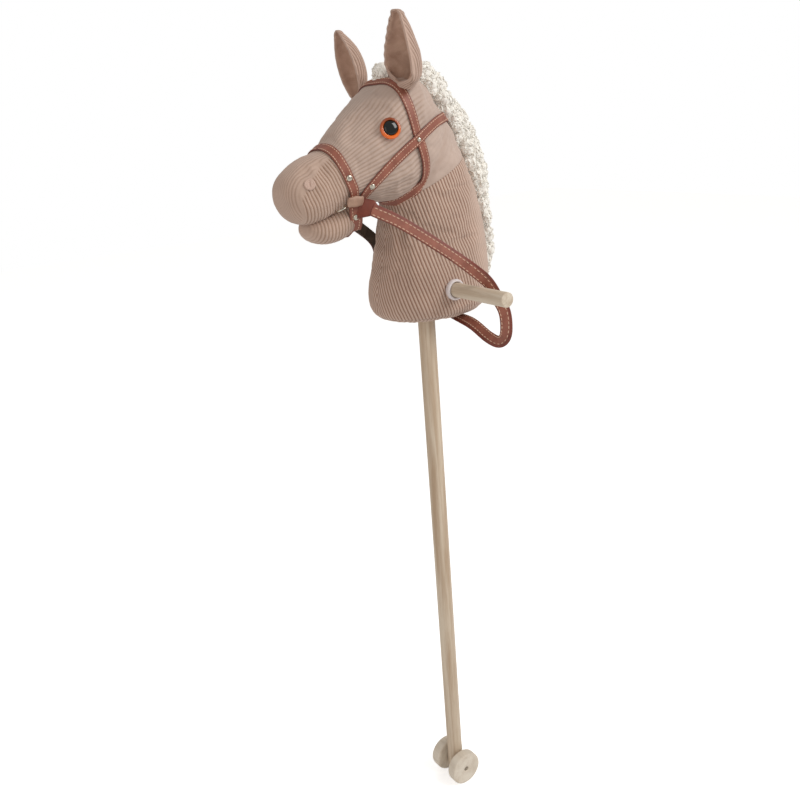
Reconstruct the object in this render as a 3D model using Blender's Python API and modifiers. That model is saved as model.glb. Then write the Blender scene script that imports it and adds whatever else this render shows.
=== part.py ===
"""Hobby horse: a stuffed corduroy head on a wooden pole, with a grip bar, a bridle and two wheels.

Metres, +Z up along the pole. The horse looks along -X and its left side is at -Y.
The origin is the middle of the grip bar, on the axis of the pole.
"""
import bpy
import bmesh
import math
from mathutils import Matrix, Vector

# Pole and grip bar
POLE_DIAMETER = 0.020
POLE_TOP = 0.160
POLE_BELOW_AXLE = 0.012
BAR_DIAMETER = 0.016
BAR_LEFT_REACH = 0.145
BAR_RIGHT_REACH = 0.100
DOWEL_CHAMFER = 0.001

# Wheels on their wooden axle
AXLE_HEIGHT = -0.6788
AXLE_DIAMETER = 0.006
WHEEL_DIAMETER = 0.045
WHEEL_WIDTH = 0.014
WHEEL_EDGE = 0.003
WHEEL_SIDE_PLAY = 0.0013
AXLE_END_RECESS = 0.001
AXLE_PLAY = 0.0001

# Plastic collars where the bar leaves the cover
COLLAR_DIAMETER = 0.026
COLLAR_THICKNESS = 0.0045
COLLAR_TUBE_DIAMETER = 0.020
COLLAR_TUBE_LENGTH = 0.008
COLLAR_EDGE = 0.0015

# Cloth, leather and the clearance between pieces that touch
CLOTH = 0.0016
LEATHER = 0.0015
GAP = 0.0003
STUFFING_GAP = 0.0006

# Cross sections of the neck, bottom to top: front x, front z, back x, back z, half width, fullness
NECK = [
    (-0.044, -0.0360, 0.053, -0.0360, 0.038, 2.1),
    (-0.058, -0.0330, 0.067, -0.0330, 0.050, 2.1),
    (-0.0645, -0.0250, 0.075, -0.0250, 0.056, 2.1),
    (-0.0665, -0.0110, 0.078, -0.0110, 0.058, 2.1),
    (-0.0645, 0.006, 0.079, 0.006, 0.058, 2.1),
    (-0.0585, 0.030, 0.078, 0.030, 0.056, 2.1),
    (-0.052, 0.060, 0.076, 0.060, 0.052, 2.1),
    (-0.046, 0.090, 0.071, 0.090, 0.048, 2.1),
    (-0.040, 0.125, 0.061, 0.125, 0.044, 2.1),
    (-0.038, 0.155, 0.047, 0.155, 0.040, 2.2),
    (-0.038, 0.185, 0.030, 0.185, 0.034, 2.3),
    (-0.034, 0.205, 0.012, 0.205, 0.024, 2.4),
]
# Cross sections of the head and upper muzzle, poll to nose: top x, top z, bottom x, bottom z and the rest
HEAD = [
    (0.010, 0.203, 0.022, 0.175, 0.022, 2.6),
    (-0.012, 0.217, 0.018, 0.140, 0.040, 2.8),
    (-0.042, 0.216, -0.008, 0.112, 0.047, 2.9),
    (-0.070, 0.202, -0.038, 0.099, 0.048, 2.7),
    (-0.093, 0.185, -0.060, 0.098, 0.045, 2.5),
    (-0.110, 0.167, -0.082, 0.099, 0.040, 2.4),
    (-0.124, 0.158, -0.098, 0.096, 0.037, 2.3),
    (-0.137, 0.153, -0.114, 0.091, 0.036, 2.3),
    (-0.153, 0.145, -0.132, 0.087, 0.036, 2.3),
    (-0.167, 0.134, -0.151, 0.086, 0.031, 2.3),
    (-0.172, 0.121, -0.164, 0.094, 0.019, 2.2),
]
# Cross sections of the lower jaw, back to front, as the head's
JAW = [
    (-0.090, 0.104, -0.087, 0.083, 0.014, 2.2),
    (-0.098, 0.108, -0.094, 0.074, 0.024, 2.2),
    (-0.110, 0.104, -0.107, 0.066, 0.028, 2.2),
    (-0.126, 0.098, -0.125, 0.063, 0.027, 2.2),
    (-0.138, 0.093, -0.140, 0.067, 0.023, 2.2),
    (-0.145, 0.089, -0.148, 0.075, 0.014, 2.2),
]
AROUND = 20
JAW_AROUND = 14

# Facets of the round pieces
WHEEL_SIDES = 32
ROD_SIDES = 24
SMALL_SIDES = 20
RING_SIDES = 16
HOLE_SIDES = 12
RIVET_SIDES = 10
WIRE_SIDES = 6

# Seams, each a line in side view: point x, point z, direction x, direction z
NECK_SEAM = (0.056, 0.143, 0.907, 0.421)
MUZZLE_SEAM = (-0.1085, 0.119, 0.224, -0.975)
BASE_SEAM_HEIGHT = -0.030

# Ears, with their width from base to tip as shares of the greatest
EAR_BASE = (-0.0365, 0.032, 0.206)
EAR_TIP = (-0.0505, 0.056, 0.2815)
EAR_WIDTH = 0.045
EAR_SHAPE = (0.90, 1.00, 0.97, 0.88, 0.76, 0.62, 0.44, 0.11)
EAR_SEAM_RISE = 0.0015
EAR_ACROSS = 6
EAR_CLOTH = 0.0022
EAR_LINING = 0.0010
EAR_TURN_OUT = math.radians(4)
EAR_WRAP = math.radians(190)

# Eyes, as side view x and z
EYE_PLACE = (-0.0613, 0.1734)
EYE_DIAMETER = 0.022
EYE_DEPTH = 0.0040
EYE_FLOOR = 0.0016
# The cup from its foot up: shares of its radius and depth
EYE_PROFILE = ((0.90, 0.00), (1.00, 0.30), (0.96, 0.62), (0.82, 0.88))
PUPIL_DIAMETER = 0.0145
PUPIL_DOME = 0.0018
EYE_STEM_DIAMETER = 0.005
EYE_STEM_LENGTH = 0.012
EYE_WASHER_DIAMETER = 0.016
EYE_WASHER_THICKNESS = 0.0015

# Nostril patches
NOSTRIL_PLACE = (-0.151, 0.128)
NOSTRIL_DIAMETER = 0.011
NOSTRIL_THICKNESS = 0.0012

# Outer line of the mane from between the ears down to the bar: x, z, half width
MANE_OUTLINE = [
    (-0.0370, 0.2280, 0.008),
    (-0.0340, 0.2370, 0.010),
    (-0.0220, 0.2395, 0.010),
    (-0.0050, 0.2410, 0.011),
    (0.0100, 0.2415, 0.015),
    (0.0250, 0.2370, 0.018),
    (0.0355, 0.2250, 0.020),
    (0.0475, 0.2100, 0.021),
    (0.0620, 0.1945, 0.022),
    (0.0750, 0.1750, 0.023),
    (0.0840, 0.1530, 0.024),
    (0.0905, 0.1280, 0.024),
    (0.0945, 0.0990, 0.023),
    (0.0990, 0.0670, 0.022),
    (0.1030, 0.0370, 0.020),
    (0.1040, 0.0150, 0.017),
    (0.0980, -0.0020, 0.010),
]
MANE_CENTRE = (-0.020, 0.060)
MANE_ROOT = 0.006
MANE_WAIST = 0.90
MANE_FULLNESS = 2.4
MANE_AROUND = 8

# Bridle, each strap in the plane of three points on the left side, and the places of its rivets
STRAP_WIDTH = 0.009
NOSEBAND_POINTS = ((-0.118, 0, 0.162), (-0.1095, -0.020, 0.125), (-0.1005, 0, 0.086))
BROWBAND_POINTS = ((-0.042, 0, 0.219), (-0.036, -0.040, 0.2045), (-0.030, -0.048, 0.1615))
THROAT_POINTS = ((-0.030, -0.048, 0.1615), (-0.025, -0.050, 0.122), (-0.056, 0, 0.086))
CHEEK_STRAP_POINTS = ((-0.110, -0.046, 0.102), (-0.030, -0.048, 0.1615), (0.023, -0.027, 0.181))
CHEEK_STRAP_END = -0.1005
CROSS_PLACE = (-0.030, 0.1615)
CHEEK_RIVET_PLACE = (-0.084, 0.121)
NOSE_RIVET_PLACE = (-0.1105, 0.129)
CHIN_RIVET_PLACE = (-0.1015, 0.090)
RIVET_DIAMETER = 0.0064
CROSS_RIVET_DIAMETER = 0.0048
RIVET_DOME = 0.0018
RIVET_SHANK_DIAMETER = 0.002
# A rivet's head from its edge up: shares of its radius and dome
RIVET_PROFILE = ((1.00, 0.00), (0.92, 0.45), (0.55, 0.90), (0.15, 1.00))
RING_PLACE = (-0.1135, 0.1030)
RING_RADIUS = 0.0062
RING_WIRE = 0.0016
TAB_PLACE = (-0.1055, 0.107)
TAB_WIDTH = 0.016
TAB_HEIGHT = 0.010
TAB_LIFT = 0.0009
TAB_EDGE = 0.0004

# Rein: a limp doubled strap that hangs over both ends of the bar, sewn to a tongue at each ring
REIN_WIDTH = 0.0132
TONGUE_WIDTH = 0.012
REIN_THICKNESS = 0.0022
REIN_STEPS = 3
TONGUE_ROOT = (-0.1030, -0.0425, 0.1005)
TONGUE_ROOT_WIDTH = 0.017
TONGUE_GAP = 0.0006
# The points it runs through, then the way its width points there
REIN_ROUTE = [
    ((-0.0927, -0.0490, 0.0974), (0.30, 0.10, 0.95)),
    ((-0.0877, -0.0520, 0.0945), (0.35, 0.10, 0.93)),
    ((-0.0685, -0.0620, 0.0825), (0.45, 0.10, 0.88)),
    ((-0.0408, -0.0745, 0.0608), (0.50, 0.10, 0.85)),
    ((-0.0141, -0.0880, 0.0376), (0.50, 0.10, 0.85)),
    ((0.0018, -0.1000, 0.0204), (0.46, -0.30, 0.80)),
    ((0.0095, -0.1060, 0.0100), (0.36, -0.78, 0.46)),
    ((0.0135, -0.1115, -0.0030), (0.60, -0.75, 0.15)),
    ((0.0172, -0.1190, -0.0180), (0.80, -0.58, 0.00)),
    ((0.0175, -0.1215, -0.0335), (0.82, -0.55, -0.12)),
    ((0.0186, -0.1170, -0.0480), (0.345, -0.534, -0.772)),
    ((0.0185, -0.1060, -0.0548), (-0.167, -0.272, -0.947)),
    ((0.0175, -0.0900, -0.0515), (-0.60, 0.06, -0.79)),
    ((0.0200, -0.0640, -0.0432), (-0.70, 0.139, -0.70)),
    ((0.0245, -0.0400, -0.0410), (-0.86, 0.10, -0.50)),
    ((0.0280, -0.0100, -0.0400), (-1.00, 0.00, 0.00)),
    ((0.0320, 0.0240, -0.0410), (-0.90, -0.40, 0.00)),
    ((0.0340, 0.0580, -0.0360), (-0.30, -0.90, -0.20)),
    ((0.0280, 0.0790, -0.0170), (0.15, -0.98, 0.00)),
    ((0.0160, 0.0810, 0.0020), (0.00, -1.00, 0.00)),
    ((0.0080, 0.0800, 0.0125), (0.00, -1.00, 0.10)),
    ((-0.0020, 0.0785, 0.0170), (0.10, -0.90, 0.40)),
    ((-0.0120, 0.0720, 0.0310), (0.30, -0.50, 0.80)),
    ((-0.0254, 0.0600, 0.0486), (0.50, -0.20, 0.84)),
    ((-0.0426, 0.0600, 0.0643), (0.50, 0.10, 0.80)),
    ((-0.0927, 0.0490, 0.0974), (0.30, -0.10, 0.95)),
]

for old in list(bpy.data.objects):
    bpy.data.objects.remove(old, do_unlink=True)

PARTS = bpy.data.collections.new("hobby_horse")
CUTTERS = bpy.data.collections.new("cutters")
bpy.context.scene.collection.children.link(PARTS)
bpy.context.scene.collection.children.link(CUTTERS)


def material(name, red, green, blue, roughness, metallic=0.0):
    """A Principled material whose colour is given as it shows on a screen, 0 to 255."""
    made = bpy.data.materials.new(name)
    made.use_nodes = True
    shader = made.node_tree.nodes["Principled BSDF"]
    linear = [((c / 255 + 0.055) / 1.055) ** 2.4 for c in (red, green, blue)]
    shader.inputs["Base Color"].default_value = (*linear, 1.0)
    shader.inputs["Roughness"].default_value = roughness
    shader.inputs["Metallic"].default_value = metallic
    return made


PINE = (214, 190, 152, 0.6)
CORDUROY = (182, 158, 146, 0.95)
BROWN_LEATHER = (138, 86, 68, 0.5)
BEIGE_LEATHER = (146, 114, 94, 0.6)
WOOL = (222, 217, 210, 1.0)
STEEL = (200, 198, 190, 0.25, 1.0)
PADDING = (232, 230, 224, 1.0)
COLLAR_PLASTIC = (198, 184, 176, 0.35)
EYE_AMBER = (196, 84, 24, 0.25)
PUPIL_BLACK = (18, 17, 20, 0.1)
WASHER_PLASTIC = (235, 235, 232, 0.5)
NOSTRIL_FELT = (192, 165, 151, 0.9)
EAR_BACK = (174, 146, 132, 0.95)
EAR_INSIDE = (132, 102, 84, 0.9)


def add_part(name, mesh, look):
    """Put a finished mesh in the parts collection, with a material of its own."""
    part = bpy.data.objects.new(name, mesh)
    PARTS.objects.link(part)
    mesh.materials.append(material(name, *look))
    return part


def add_cutter(name, mesh):
    """Put a mesh that only cuts or guides in the cutters collection."""
    cutter = bpy.data.objects.new(name, mesh)
    CUTTERS.objects.link(cutter)
    cutter.hide_render = True
    cutter.display_type = "WIRE"
    return cutter


def combine(part, other, operation):
    """Cut, join or limit a part by another solid."""
    step = part.modifiers.new(operation.lower() + "_" + other.name, "BOOLEAN")
    step.operation = operation
    step.solver = "EXACT"
    step.object = other
    return part


def mesh_from(name, build):
    """A mesh filled by a function that is handed an empty bmesh."""
    mesh = bpy.data.meshes.new(name)
    shape = bmesh.new()
    build(shape)
    bmesh.ops.recalc_face_normals(shape, faces=shape.faces)
    shape.to_mesh(mesh)
    shape.free()
    return mesh


def shade_round(mesh, angle=40):
    """Smooth shading that keeps the sharp edges."""
    mesh.shade_smooth()
    mesh.set_sharp_from_angle(angle=math.radians(angle))


def turned(name, profile, sides, place=Matrix.Identity(4), ring=False):
    """A solid turned about its own Z axis from (radius, height) points; a ring's profile closes on itself."""
    def build(shape):
        circles = []
        for radius, height in profile:
            circle = []
            for i in range(sides):
                turn = 2 * math.pi * i / sides
                spot = Vector((radius * math.cos(turn), radius * math.sin(turn), height))
                circle.append(shape.verts.new(place @ spot))
            circles.append(circle)
        pairs = list(zip(circles, circles[1:]))
        if ring:
            pairs.append((circles[-1], circles[0]))
        else:
            shape.faces.new(circles[0])
            shape.faces.new(circles[-1])
        for lower, upper in pairs:
            for i in range(sides):
                j = (i + 1) % sides
                shape.faces.new((lower[i], lower[j], upper[j], upper[i]))
    mesh = mesh_from(name, build)
    shade_round(mesh)
    return mesh


def rod(name, radius, start, end, sides, chamfer=0.0):
    """A round rod between two points, with small chamfers at its ends."""
    start = Vector(start)
    axis = Vector(end) - start
    length = axis.length
    place = Matrix.Translation(start) @ axis.to_track_quat("Z", "Y").to_matrix().to_4x4()
    profile = [(radius, 0.0), (radius, length)]
    if chamfer:
        profile = [(radius - chamfer, 0.0), (radius, chamfer),
                   (radius, length - chamfer), (radius - chamfer, length)]
    return turned(name, profile, sides, place)


def spline(points, per_span):
    """A smooth curve through rows of numbers, per_span steps between neighbours."""
    rows = [Vector(point) for point in points]
    first = rows[0] * 2 - rows[1]
    last = rows[-1] * 2 - rows[-2]
    held = [first] + rows + [last]
    curve = []
    for i in range(1, len(held) - 2):
        a, b, c, d = held[i - 1:i + 3]
        for step in range(per_span):
            t = step / per_span
            curve.append(0.5 * ((2 * b) + (c - a) * t + (2 * a - 5 * b + 4 * c - d) * t * t
                                + (3 * b - a - 3 * c + d) * t ** 3))
    curve.append(rows[-1])
    return curve


def fuller(wave, fullness):
    """A sine or cosine drawn towards the corners of a square; a fullness of 2 leaves an ellipse."""
    return math.copysign(abs(wave) ** (2 / fullness), wave)


def stuffed_form(name, sections, around, grow):
    """A closed loft through upright oval sections, moved out by grow along its normals."""
    def build(shape):
        rings = []
        for end_one_x, end_one_z, end_two_x, end_two_z, half_width, fullness in sections:
            centre = Vector((end_one_x + end_two_x, 0, end_one_z + end_two_z)) / 2
            reach = Vector((end_one_x - end_two_x, 0, end_one_z - end_two_z)) / 2
            ring = []
            for i in range(around):
                turn = 2 * math.pi * i / around
                side = Vector((0, half_width * fuller(math.sin(turn), fullness), 0))
                ring.append(shape.verts.new(centre + reach * fuller(math.cos(turn), fullness) + side))
            rings.append(ring)
        for lower, upper in zip(rings, rings[1:]):
            for i in range(around):
                j = (i + 1) % around
                shape.faces.new((lower[i], lower[j], upper[j], upper[i]))
        shape.faces.new(rings[0])
        shape.faces.new(rings[-1])
        bmesh.ops.recalc_face_normals(shape, faces=shape.faces)
        shape.normal_update()
        moved = [vert.co + vert.normal * grow for vert in shape.verts]
        for vert, spot in zip(shape.verts, moved):
            vert.co = spot
    mesh = mesh_from(name, build)
    shade_round(mesh, 60)
    return mesh


def body_form(grow, jaw=False):
    """Neck and head joined, and the jaw too if asked for, moved out by grow."""
    label = "body_form_%+.1f%s" % (grow * 1000, "_jaw" if jaw else "")
    if label in bpy.data.objects:
        return bpy.data.objects[label]
    body = add_cutter(label, stuffed_form(label, HEAD, AROUND, grow))
    combine(body, piece_form("neck", grow), "UNION")
    if jaw:
        combine(body, piece_form("jaw", grow), "UNION")
    return body


def piece_form(piece, grow):
    """The stuffed form of the neck, head or jaw alone, moved out by grow."""
    label = "%s_form_%+.1f" % (piece, grow * 1000)
    if label in bpy.data.objects:
        return bpy.data.objects[label]
    sections, around = {"neck": (NECK, AROUND), "head": (HEAD, AROUND), "jaw": (JAW, JAW_AROUND)}[piece]
    return add_cutter(label, stuffed_form(label, sections, around, grow))


def solid_of(form, name, look):
    """A new part with the shape that a form has once its joins are done."""
    depsgraph = bpy.context.evaluated_depsgraph_get()
    mesh = bpy.data.meshes.new_from_object(form.evaluated_get(depsgraph))
    mesh.name = name
    mesh.materials.clear()
    shade_round(mesh, 60)
    return add_part(name, mesh, look)


def line_plane(line, offset=0.0):
    """Point and normal of the plane that holds a side view line and runs straight across the horse."""
    x, z, along_x, along_z = line
    along = Vector((along_x, 0, along_z)).normalized()
    normal = Vector((-along.z, 0, along.x))
    return Vector((x, 0, z)) + normal * offset, normal


BOX_REACH = 0.5


def half_space(name, point, normal):
    """A large block on the side of the plane that the normal points to."""
    def build(shape):
        turn = normal.to_track_quat("Z", "Y").to_matrix().to_4x4()
        place = Matrix.Translation(point + normal * BOX_REACH / 2) @ turn
        bmesh.ops.create_cube(shape, size=BOX_REACH, matrix=place)
    return add_cutter(name, mesh_from(name, build))


def slab(name, point, normal, width):
    """A wide flat block of the given width, centred on a plane."""
    def build(shape):
        turn = normal.to_track_quat("Z", "Y").to_matrix().to_4x4()
        size = Matrix.Diagonal((BOX_REACH, BOX_REACH, width, 1))
        bmesh.ops.create_cube(shape, size=1.0, matrix=Matrix.Translation(point) @ turn @ size)
    return add_cutter(name, mesh_from(name, build))


def surface_at(place, side, form):
    """Point and outward normal on a form, at a side view x and z, on one side of the horse."""
    depsgraph = bpy.context.evaluated_depsgraph_get()
    far = Vector((place[0], side * BOX_REACH, place[1]))
    hit, point, normal, index = form.evaluated_get(depsgraph).ray_cast(far, Vector((0, -side, 0)))
    return point, normal


def seat_frame(point, normal, up=Vector((0, 0, 1))):
    """A placement whose Z axis is the surface normal and whose Y axis leans to up."""
    z = normal.normalized()
    x = up.cross(z).normalized()
    y = z.cross(x)
    place = Matrix((x, y, z)).transposed().to_4x4()
    place.translation = point
    return place


SIDES = {"left": -1, "right": 1}


def make_pole():
    """The upright dowel, with a cross hole for the bar and one for the axle."""
    low = (0, 0, AXLE_HEIGHT - POLE_BELOW_AXLE)
    shape = rod("pole", POLE_DIAMETER / 2, low, (0, 0, POLE_TOP), ROD_SIDES, DOWEL_CHAMFER)
    pole = add_part("pole", shape, PINE)
    for name, height, radius in (("bar_hole", 0.0, BAR_DIAMETER / 2 + GAP),
                                 ("axle_hole", AXLE_HEIGHT, AXLE_DIAMETER / 2 + AXLE_PLAY)):
        ends = (0, -POLE_DIAMETER, height), (0, POLE_DIAMETER, height)
        combine(pole, add_cutter(name, rod(name, radius, *ends, SMALL_SIDES)), "DIFFERENCE")


def make_bar():
    """The grip bar, pushed through the pole and glued."""
    ends = (0, -BAR_LEFT_REACH, 0), (0, BAR_RIGHT_REACH, 0)
    add_part("handle_bar", rod("handle_bar", BAR_DIAMETER / 2, *ends, ROD_SIDES, DOWEL_CHAMFER), PINE)


def make_wheels():
    """Two turned wheels glued to an axle that spins in the pole."""
    hub = bpy.data.objects.new("wheel_axis", None)
    PARTS.objects.link(hub)
    hub.location = (0, 0, AXLE_HEIGHT)
    inner = POLE_DIAMETER / 2 + WHEEL_SIDE_PLAY
    half_axle = inner + WHEEL_WIDTH - AXLE_END_RECESS
    ends = (0, -half_axle, 0), (0, half_axle, 0)
    axle = add_part("axle", rod("axle", AXLE_DIAMETER / 2, *ends, SMALL_SIDES), PINE)
    axle.parent = hub
    rim = WHEEL_DIAMETER / 2
    bore = AXLE_DIAMETER / 2 + GAP
    edge = [(rim - WHEEL_EDGE * (1 - math.sin(a)), WHEEL_EDGE * (1 - math.cos(a)))
            for a in (0, math.pi / 4, math.pi / 2)]
    outer = edge + [(radius, WHEEL_WIDTH - height) for radius, height in reversed(edge)]
    profile = [(bore, 0.0)] + outer + [(bore, WHEEL_WIDTH)]
    for side, sign in SIDES.items():
        turn = Matrix.Rotation(math.radians(-90 * sign), 4, "X")
        place = Matrix.Translation((0, sign * inner, 0)) @ turn
        mesh = turned("wheel_" + side, profile, WHEEL_SIDES, place, ring=True)
        wheel = add_part("wheel_" + side, mesh, PINE)
        wheel.parent = hub


def make_collars():
    """Plastic collars that line the holes where the bar comes through the cover."""
    bore = BAR_DIAMETER / 2 + GAP
    tube = COLLAR_TUBE_DIAMETER / 2
    flange = COLLAR_DIAMETER / 2
    for side, sign in SIDES.items():
        skin, normal = surface_at((0, 0), sign, body_form(0))
        out = abs(skin.y)
        high = out + COLLAR_THICKNESS
        turn = Matrix.Rotation(math.radians(-90 * sign), 4, "X")
        deep = out - COLLAR_THICKNESS
        lip = [(bore, deep), (flange, deep), (flange, high - COLLAR_EDGE),
               (flange - COLLAR_EDGE, high), (bore, high)]
        name = "handle_collar_" + side
        collar = add_part(name, turned(name, lip, ROD_SIDES, turn, ring=True), COLLAR_PLASTIC)
        combine(collar, body_form(GAP), "DIFFERENCE")
        inner = out - COLLAR_TUBE_LENGTH
        sleeve = [(bore, inner), (tube, inner), (tube, high - COLLAR_EDGE), (bore, high - COLLAR_EDGE)]
        name = "collar_sleeve_" + side
        combine(collar, add_cutter(name, turned(name, sleeve, ROD_SIDES, turn, ring=True)), "UNION")


def bar_cutters():
    """Room for the bar and for the collar tubes."""
    reach = BAR_LEFT_REACH + BAR_RIGHT_REACH
    shape = rod("bar_room", BAR_DIAMETER / 2 + GAP, (0, -reach, 0), (0, reach, 0), SMALL_SIDES)
    bar = add_cutter("bar_room", shape)
    tubes = []
    for side, sign in SIDES.items():
        skin, normal = surface_at((0, 0), sign, body_form(0))
        start = abs(skin.y) - COLLAR_TUBE_LENGTH - GAP
        name = "collar_room_" + side
        ends = (0, sign * start, 0), (0, sign * reach, 0)
        tubes.append(add_cutter(name, rod(name, COLLAR_TUBE_DIAMETER / 2 + GAP, *ends, SMALL_SIDES)))
    return [bar] + tubes


def make_covers_and_stuffing():
    """The sewn cloth pieces with the padding inside them, cut apart at their seams."""
    above_neck_seam = half_space("above_neck_seam", *line_plane(NECK_SEAM, GAP / 2))
    point, normal = line_plane(NECK_SEAM, -GAP / 2)
    below_neck_seam = half_space("below_neck_seam", point, -normal)
    behind_muzzle_seam = half_space("behind_muzzle_seam", *line_plane(MUZZLE_SEAM, GAP / 2))
    point, normal = line_plane(MUZZLE_SEAM, -GAP / 2)
    before_muzzle_seam = half_space("before_muzzle_seam", point, -normal)
    up = Vector((0, 0, 1))
    above_base = half_space("above_base", up * (BASE_SEAM_HEIGHT + GAP / 2), up)
    below_base = half_space("below_base", up * (BASE_SEAM_HEIGHT - GAP / 2), -up)
    ends = (0, 0, AXLE_HEIGHT), (0, 0, POLE_TOP + GAP)
    pole_room = add_cutter("pole_room", rod("pole_room", POLE_DIAMETER / 2 + GAP, *ends, ROD_SIDES))
    bar_room, *collar_rooms = bar_cutters()
    eye_rooms = [eye_room(side, sign) for side, sign in SIDES.items()]
    washer_rooms = [washer_room(side, sign) for side, sign in SIDES.items()]
    neck_cuts = [pole_room, bar_room] + collar_rooms

    inner = body_form(-CLOTH)
    regions = {"neck_cover": ([below_neck_seam, above_base], neck_cuts),
               "base_panel": ([below_base], [pole_room]),
               "head_cover": ([above_neck_seam, behind_muzzle_seam], eye_rooms),
               "muzzle_cover": ([above_neck_seam, before_muzzle_seam], [])}
    for name, (limits, cuts) in regions.items():
        cover = solid_of(body_form(0), name, CORDUROY)
        for limit in limits:
            combine(cover, limit, "INTERSECT")
        for cut in cuts + [inner]:
            combine(cover, cut, "DIFFERENCE")
    filling = solid_of(body_form(-CLOTH - STUFFING_GAP), "stuffing", PADDING)
    for cut in neck_cuts + eye_rooms + washer_rooms:
        combine(filling, cut, "DIFFERENCE")

    jaw = solid_of(piece_form("jaw", 0), "jaw_cover", CORDUROY)
    combine(jaw, piece_form("jaw", -CLOTH), "DIFFERENCE")
    combine(jaw, body_form(GAP), "DIFFERENCE")
    jaw_filling = solid_of(piece_form("jaw", -CLOTH - STUFFING_GAP), "jaw_stuffing", PADDING)
    combine(jaw_filling, body_form(GAP), "DIFFERENCE")


def eye_seat(sign):
    """Placement of an eye on the cheek, Z outward."""
    return seat_frame(*surface_at(EYE_PLACE, sign, body_form(0)))


def eye_cylinder(name, sign, radius, low, high, sides):
    """A cylinder on the axis of an eye, for cutting, made once."""
    if name in bpy.data.objects:
        return bpy.data.objects[name]
    return add_cutter(name, turned(name, [(radius, low), (radius, high)], sides, eye_seat(sign)))


def eye_room(side, sign):
    """Room for the eye's stem through cloth and padding."""
    radius = EYE_STEM_DIAMETER / 2 + GAP
    return eye_cylinder("eye_room_" + side, sign, radius, -EYE_STEM_LENGTH - GAP, EYE_DEPTH, HOLE_SIDES)


def washer_room(side, sign):
    """Room for the lock washer in the padding."""
    radius = EYE_WASHER_DIAMETER / 2 + GAP
    low = -CLOTH - STUFFING_GAP - EYE_WASHER_THICKNESS - GAP
    return eye_cylinder("washer_room_" + side, sign, radius, low, EYE_DEPTH, SMALL_SIDES)


def eye_tube(side, sign):
    """A cylinder just wider than the eye's stem, through the cheek."""
    radius = EYE_STEM_DIAMETER / 2 + GAP / 2
    reach = 2 * EYE_STEM_LENGTH
    return eye_cylinder("eye_tube_" + side, sign, radius, -reach, reach, SMALL_SIDES)


def make_eyes():
    """Plastic safety eyes: an orange cup on a stem, a domed pupil and a washer behind the cloth."""
    cup = EYE_DIAMETER / 2
    stem = EYE_STEM_DIAMETER / 2
    pupil = PUPIL_DIAMETER / 2
    for side, sign in SIDES.items():
        place = eye_seat(sign)
        wall = [(cup * out, EYE_DEPTH * up) for out, up in EYE_PROFILE]
        profile = [(stem, -EYE_STEM_LENGTH), (stem, 0)] + wall
        profile += [(pupil + GAP, EYE_DEPTH), (pupil + GAP, EYE_FLOOR)]
        eye = add_part("eye_" + side, turned("eye_" + side, profile, SMALL_SIDES, place), EYE_AMBER)
        combine(eye, eye_clearance(side, sign), "DIFFERENCE")
        dome = [(pupil * math.cos(a), EYE_DEPTH + PUPIL_DOME * math.sin(a))
                for a in (0, math.pi / 7, math.pi / 3.4, math.pi / 2.3)]
        profile = [(pupil, EYE_FLOOR + GAP)] + dome
        add_part("pupil_" + side, turned("pupil_" + side, profile, SMALL_SIDES, place), PUPIL_BLACK)
        make_washer(side, sign)


def make_washer(side, sign):
    """The lock washer on the eye's stem, behind the cloth."""
    hole = EYE_STEM_DIAMETER / 2 + GAP
    edge = EYE_WASHER_DIAMETER / 2
    top = -CLOTH - GAP
    low = top - EYE_WASHER_THICKNESS
    profile = [(hole, low), (edge, low), (edge, top), (hole, top)]
    name = "eye_washer_" + side
    washer = add_part(name, turned(name, profile, SMALL_SIDES, eye_seat(sign), ring=True), WASHER_PLASTIC)
    reach = EYE_STEM_LENGTH
    outside = eye_cylinder("washer_limit_" + side, sign, EYE_WASHER_DIAMETER, -reach, reach, SMALL_SIDES)
    combine(outside, body_form(-CLOTH - GAP), "DIFFERENCE")
    combine(outside, eye_tube(side, sign), "DIFFERENCE")
    combine(washer, outside, "DIFFERENCE")


def eye_clearance(side, sign):
    """The bulge of the cheek under the cup, without the stem's hole."""
    zone = eye_cylinder("eye_bulge_" + side, sign, EYE_DIAMETER, -EYE_DEPTH, EYE_DEPTH, SMALL_SIDES)
    combine(zone, body_form(GAP), "INTERSECT")
    combine(zone, eye_tube(side, sign), "DIFFERENCE")
    return zone


def make_nostrils():
    """Round stitched patches on the muzzle."""
    outer = body_form(GAP + NOSTRIL_THICKNESS)
    for side, sign in SIDES.items():
        place = seat_frame(*surface_at(NOSTRIL_PLACE, sign, body_form(0)))
        radius = NOSTRIL_DIAMETER / 2
        profile = [(radius, -NOSTRIL_DIAMETER / 2), (radius, NOSTRIL_DIAMETER)]
        shape = turned("nostril_" + side, profile, SMALL_SIDES, place)
        patch = add_part("nostril_" + side, shape, NOSTRIL_FELT)
        combine(patch, outer, "INTERSECT")
        combine(patch, body_form(GAP), "DIFFERENCE")


def strap_layer(layer):
    """How far out the under and upper faces of a strap on this layer lie."""
    under = GAP + layer * (LEATHER + GAP)
    return under, under + LEATHER


def plane_of(points):
    """Point and normal of the plane through three points."""
    first, second, third = [Vector(point) for point in points]
    return second, (second - first).cross(third - first).normalized()


def strap_room(name, points, layer):
    """The room that a strap takes, for what lies over it."""
    label = name + "_room"
    if label in bpy.data.objects:
        return bpy.data.objects[label]
    under, upper = strap_layer(layer)
    room = slab(label, *plane_of(points), STRAP_WIDTH + 2 * GAP)
    combine(room, body_form(upper + GAP), "INTERSECT")
    return mirrored(room)


def mirrored(shape):
    """Keep the left half of a shape and mirror it to the right."""
    mirror = shape.modifiers.new("right_half", "MIRROR")
    mirror.use_axis = (False, True, False)
    mirror.use_bisect_axis = (False, True, False)
    mirror.use_bisect_flip_axis = (False, True, False)
    mirror.merge_threshold = 0.00001
    return shape


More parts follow.
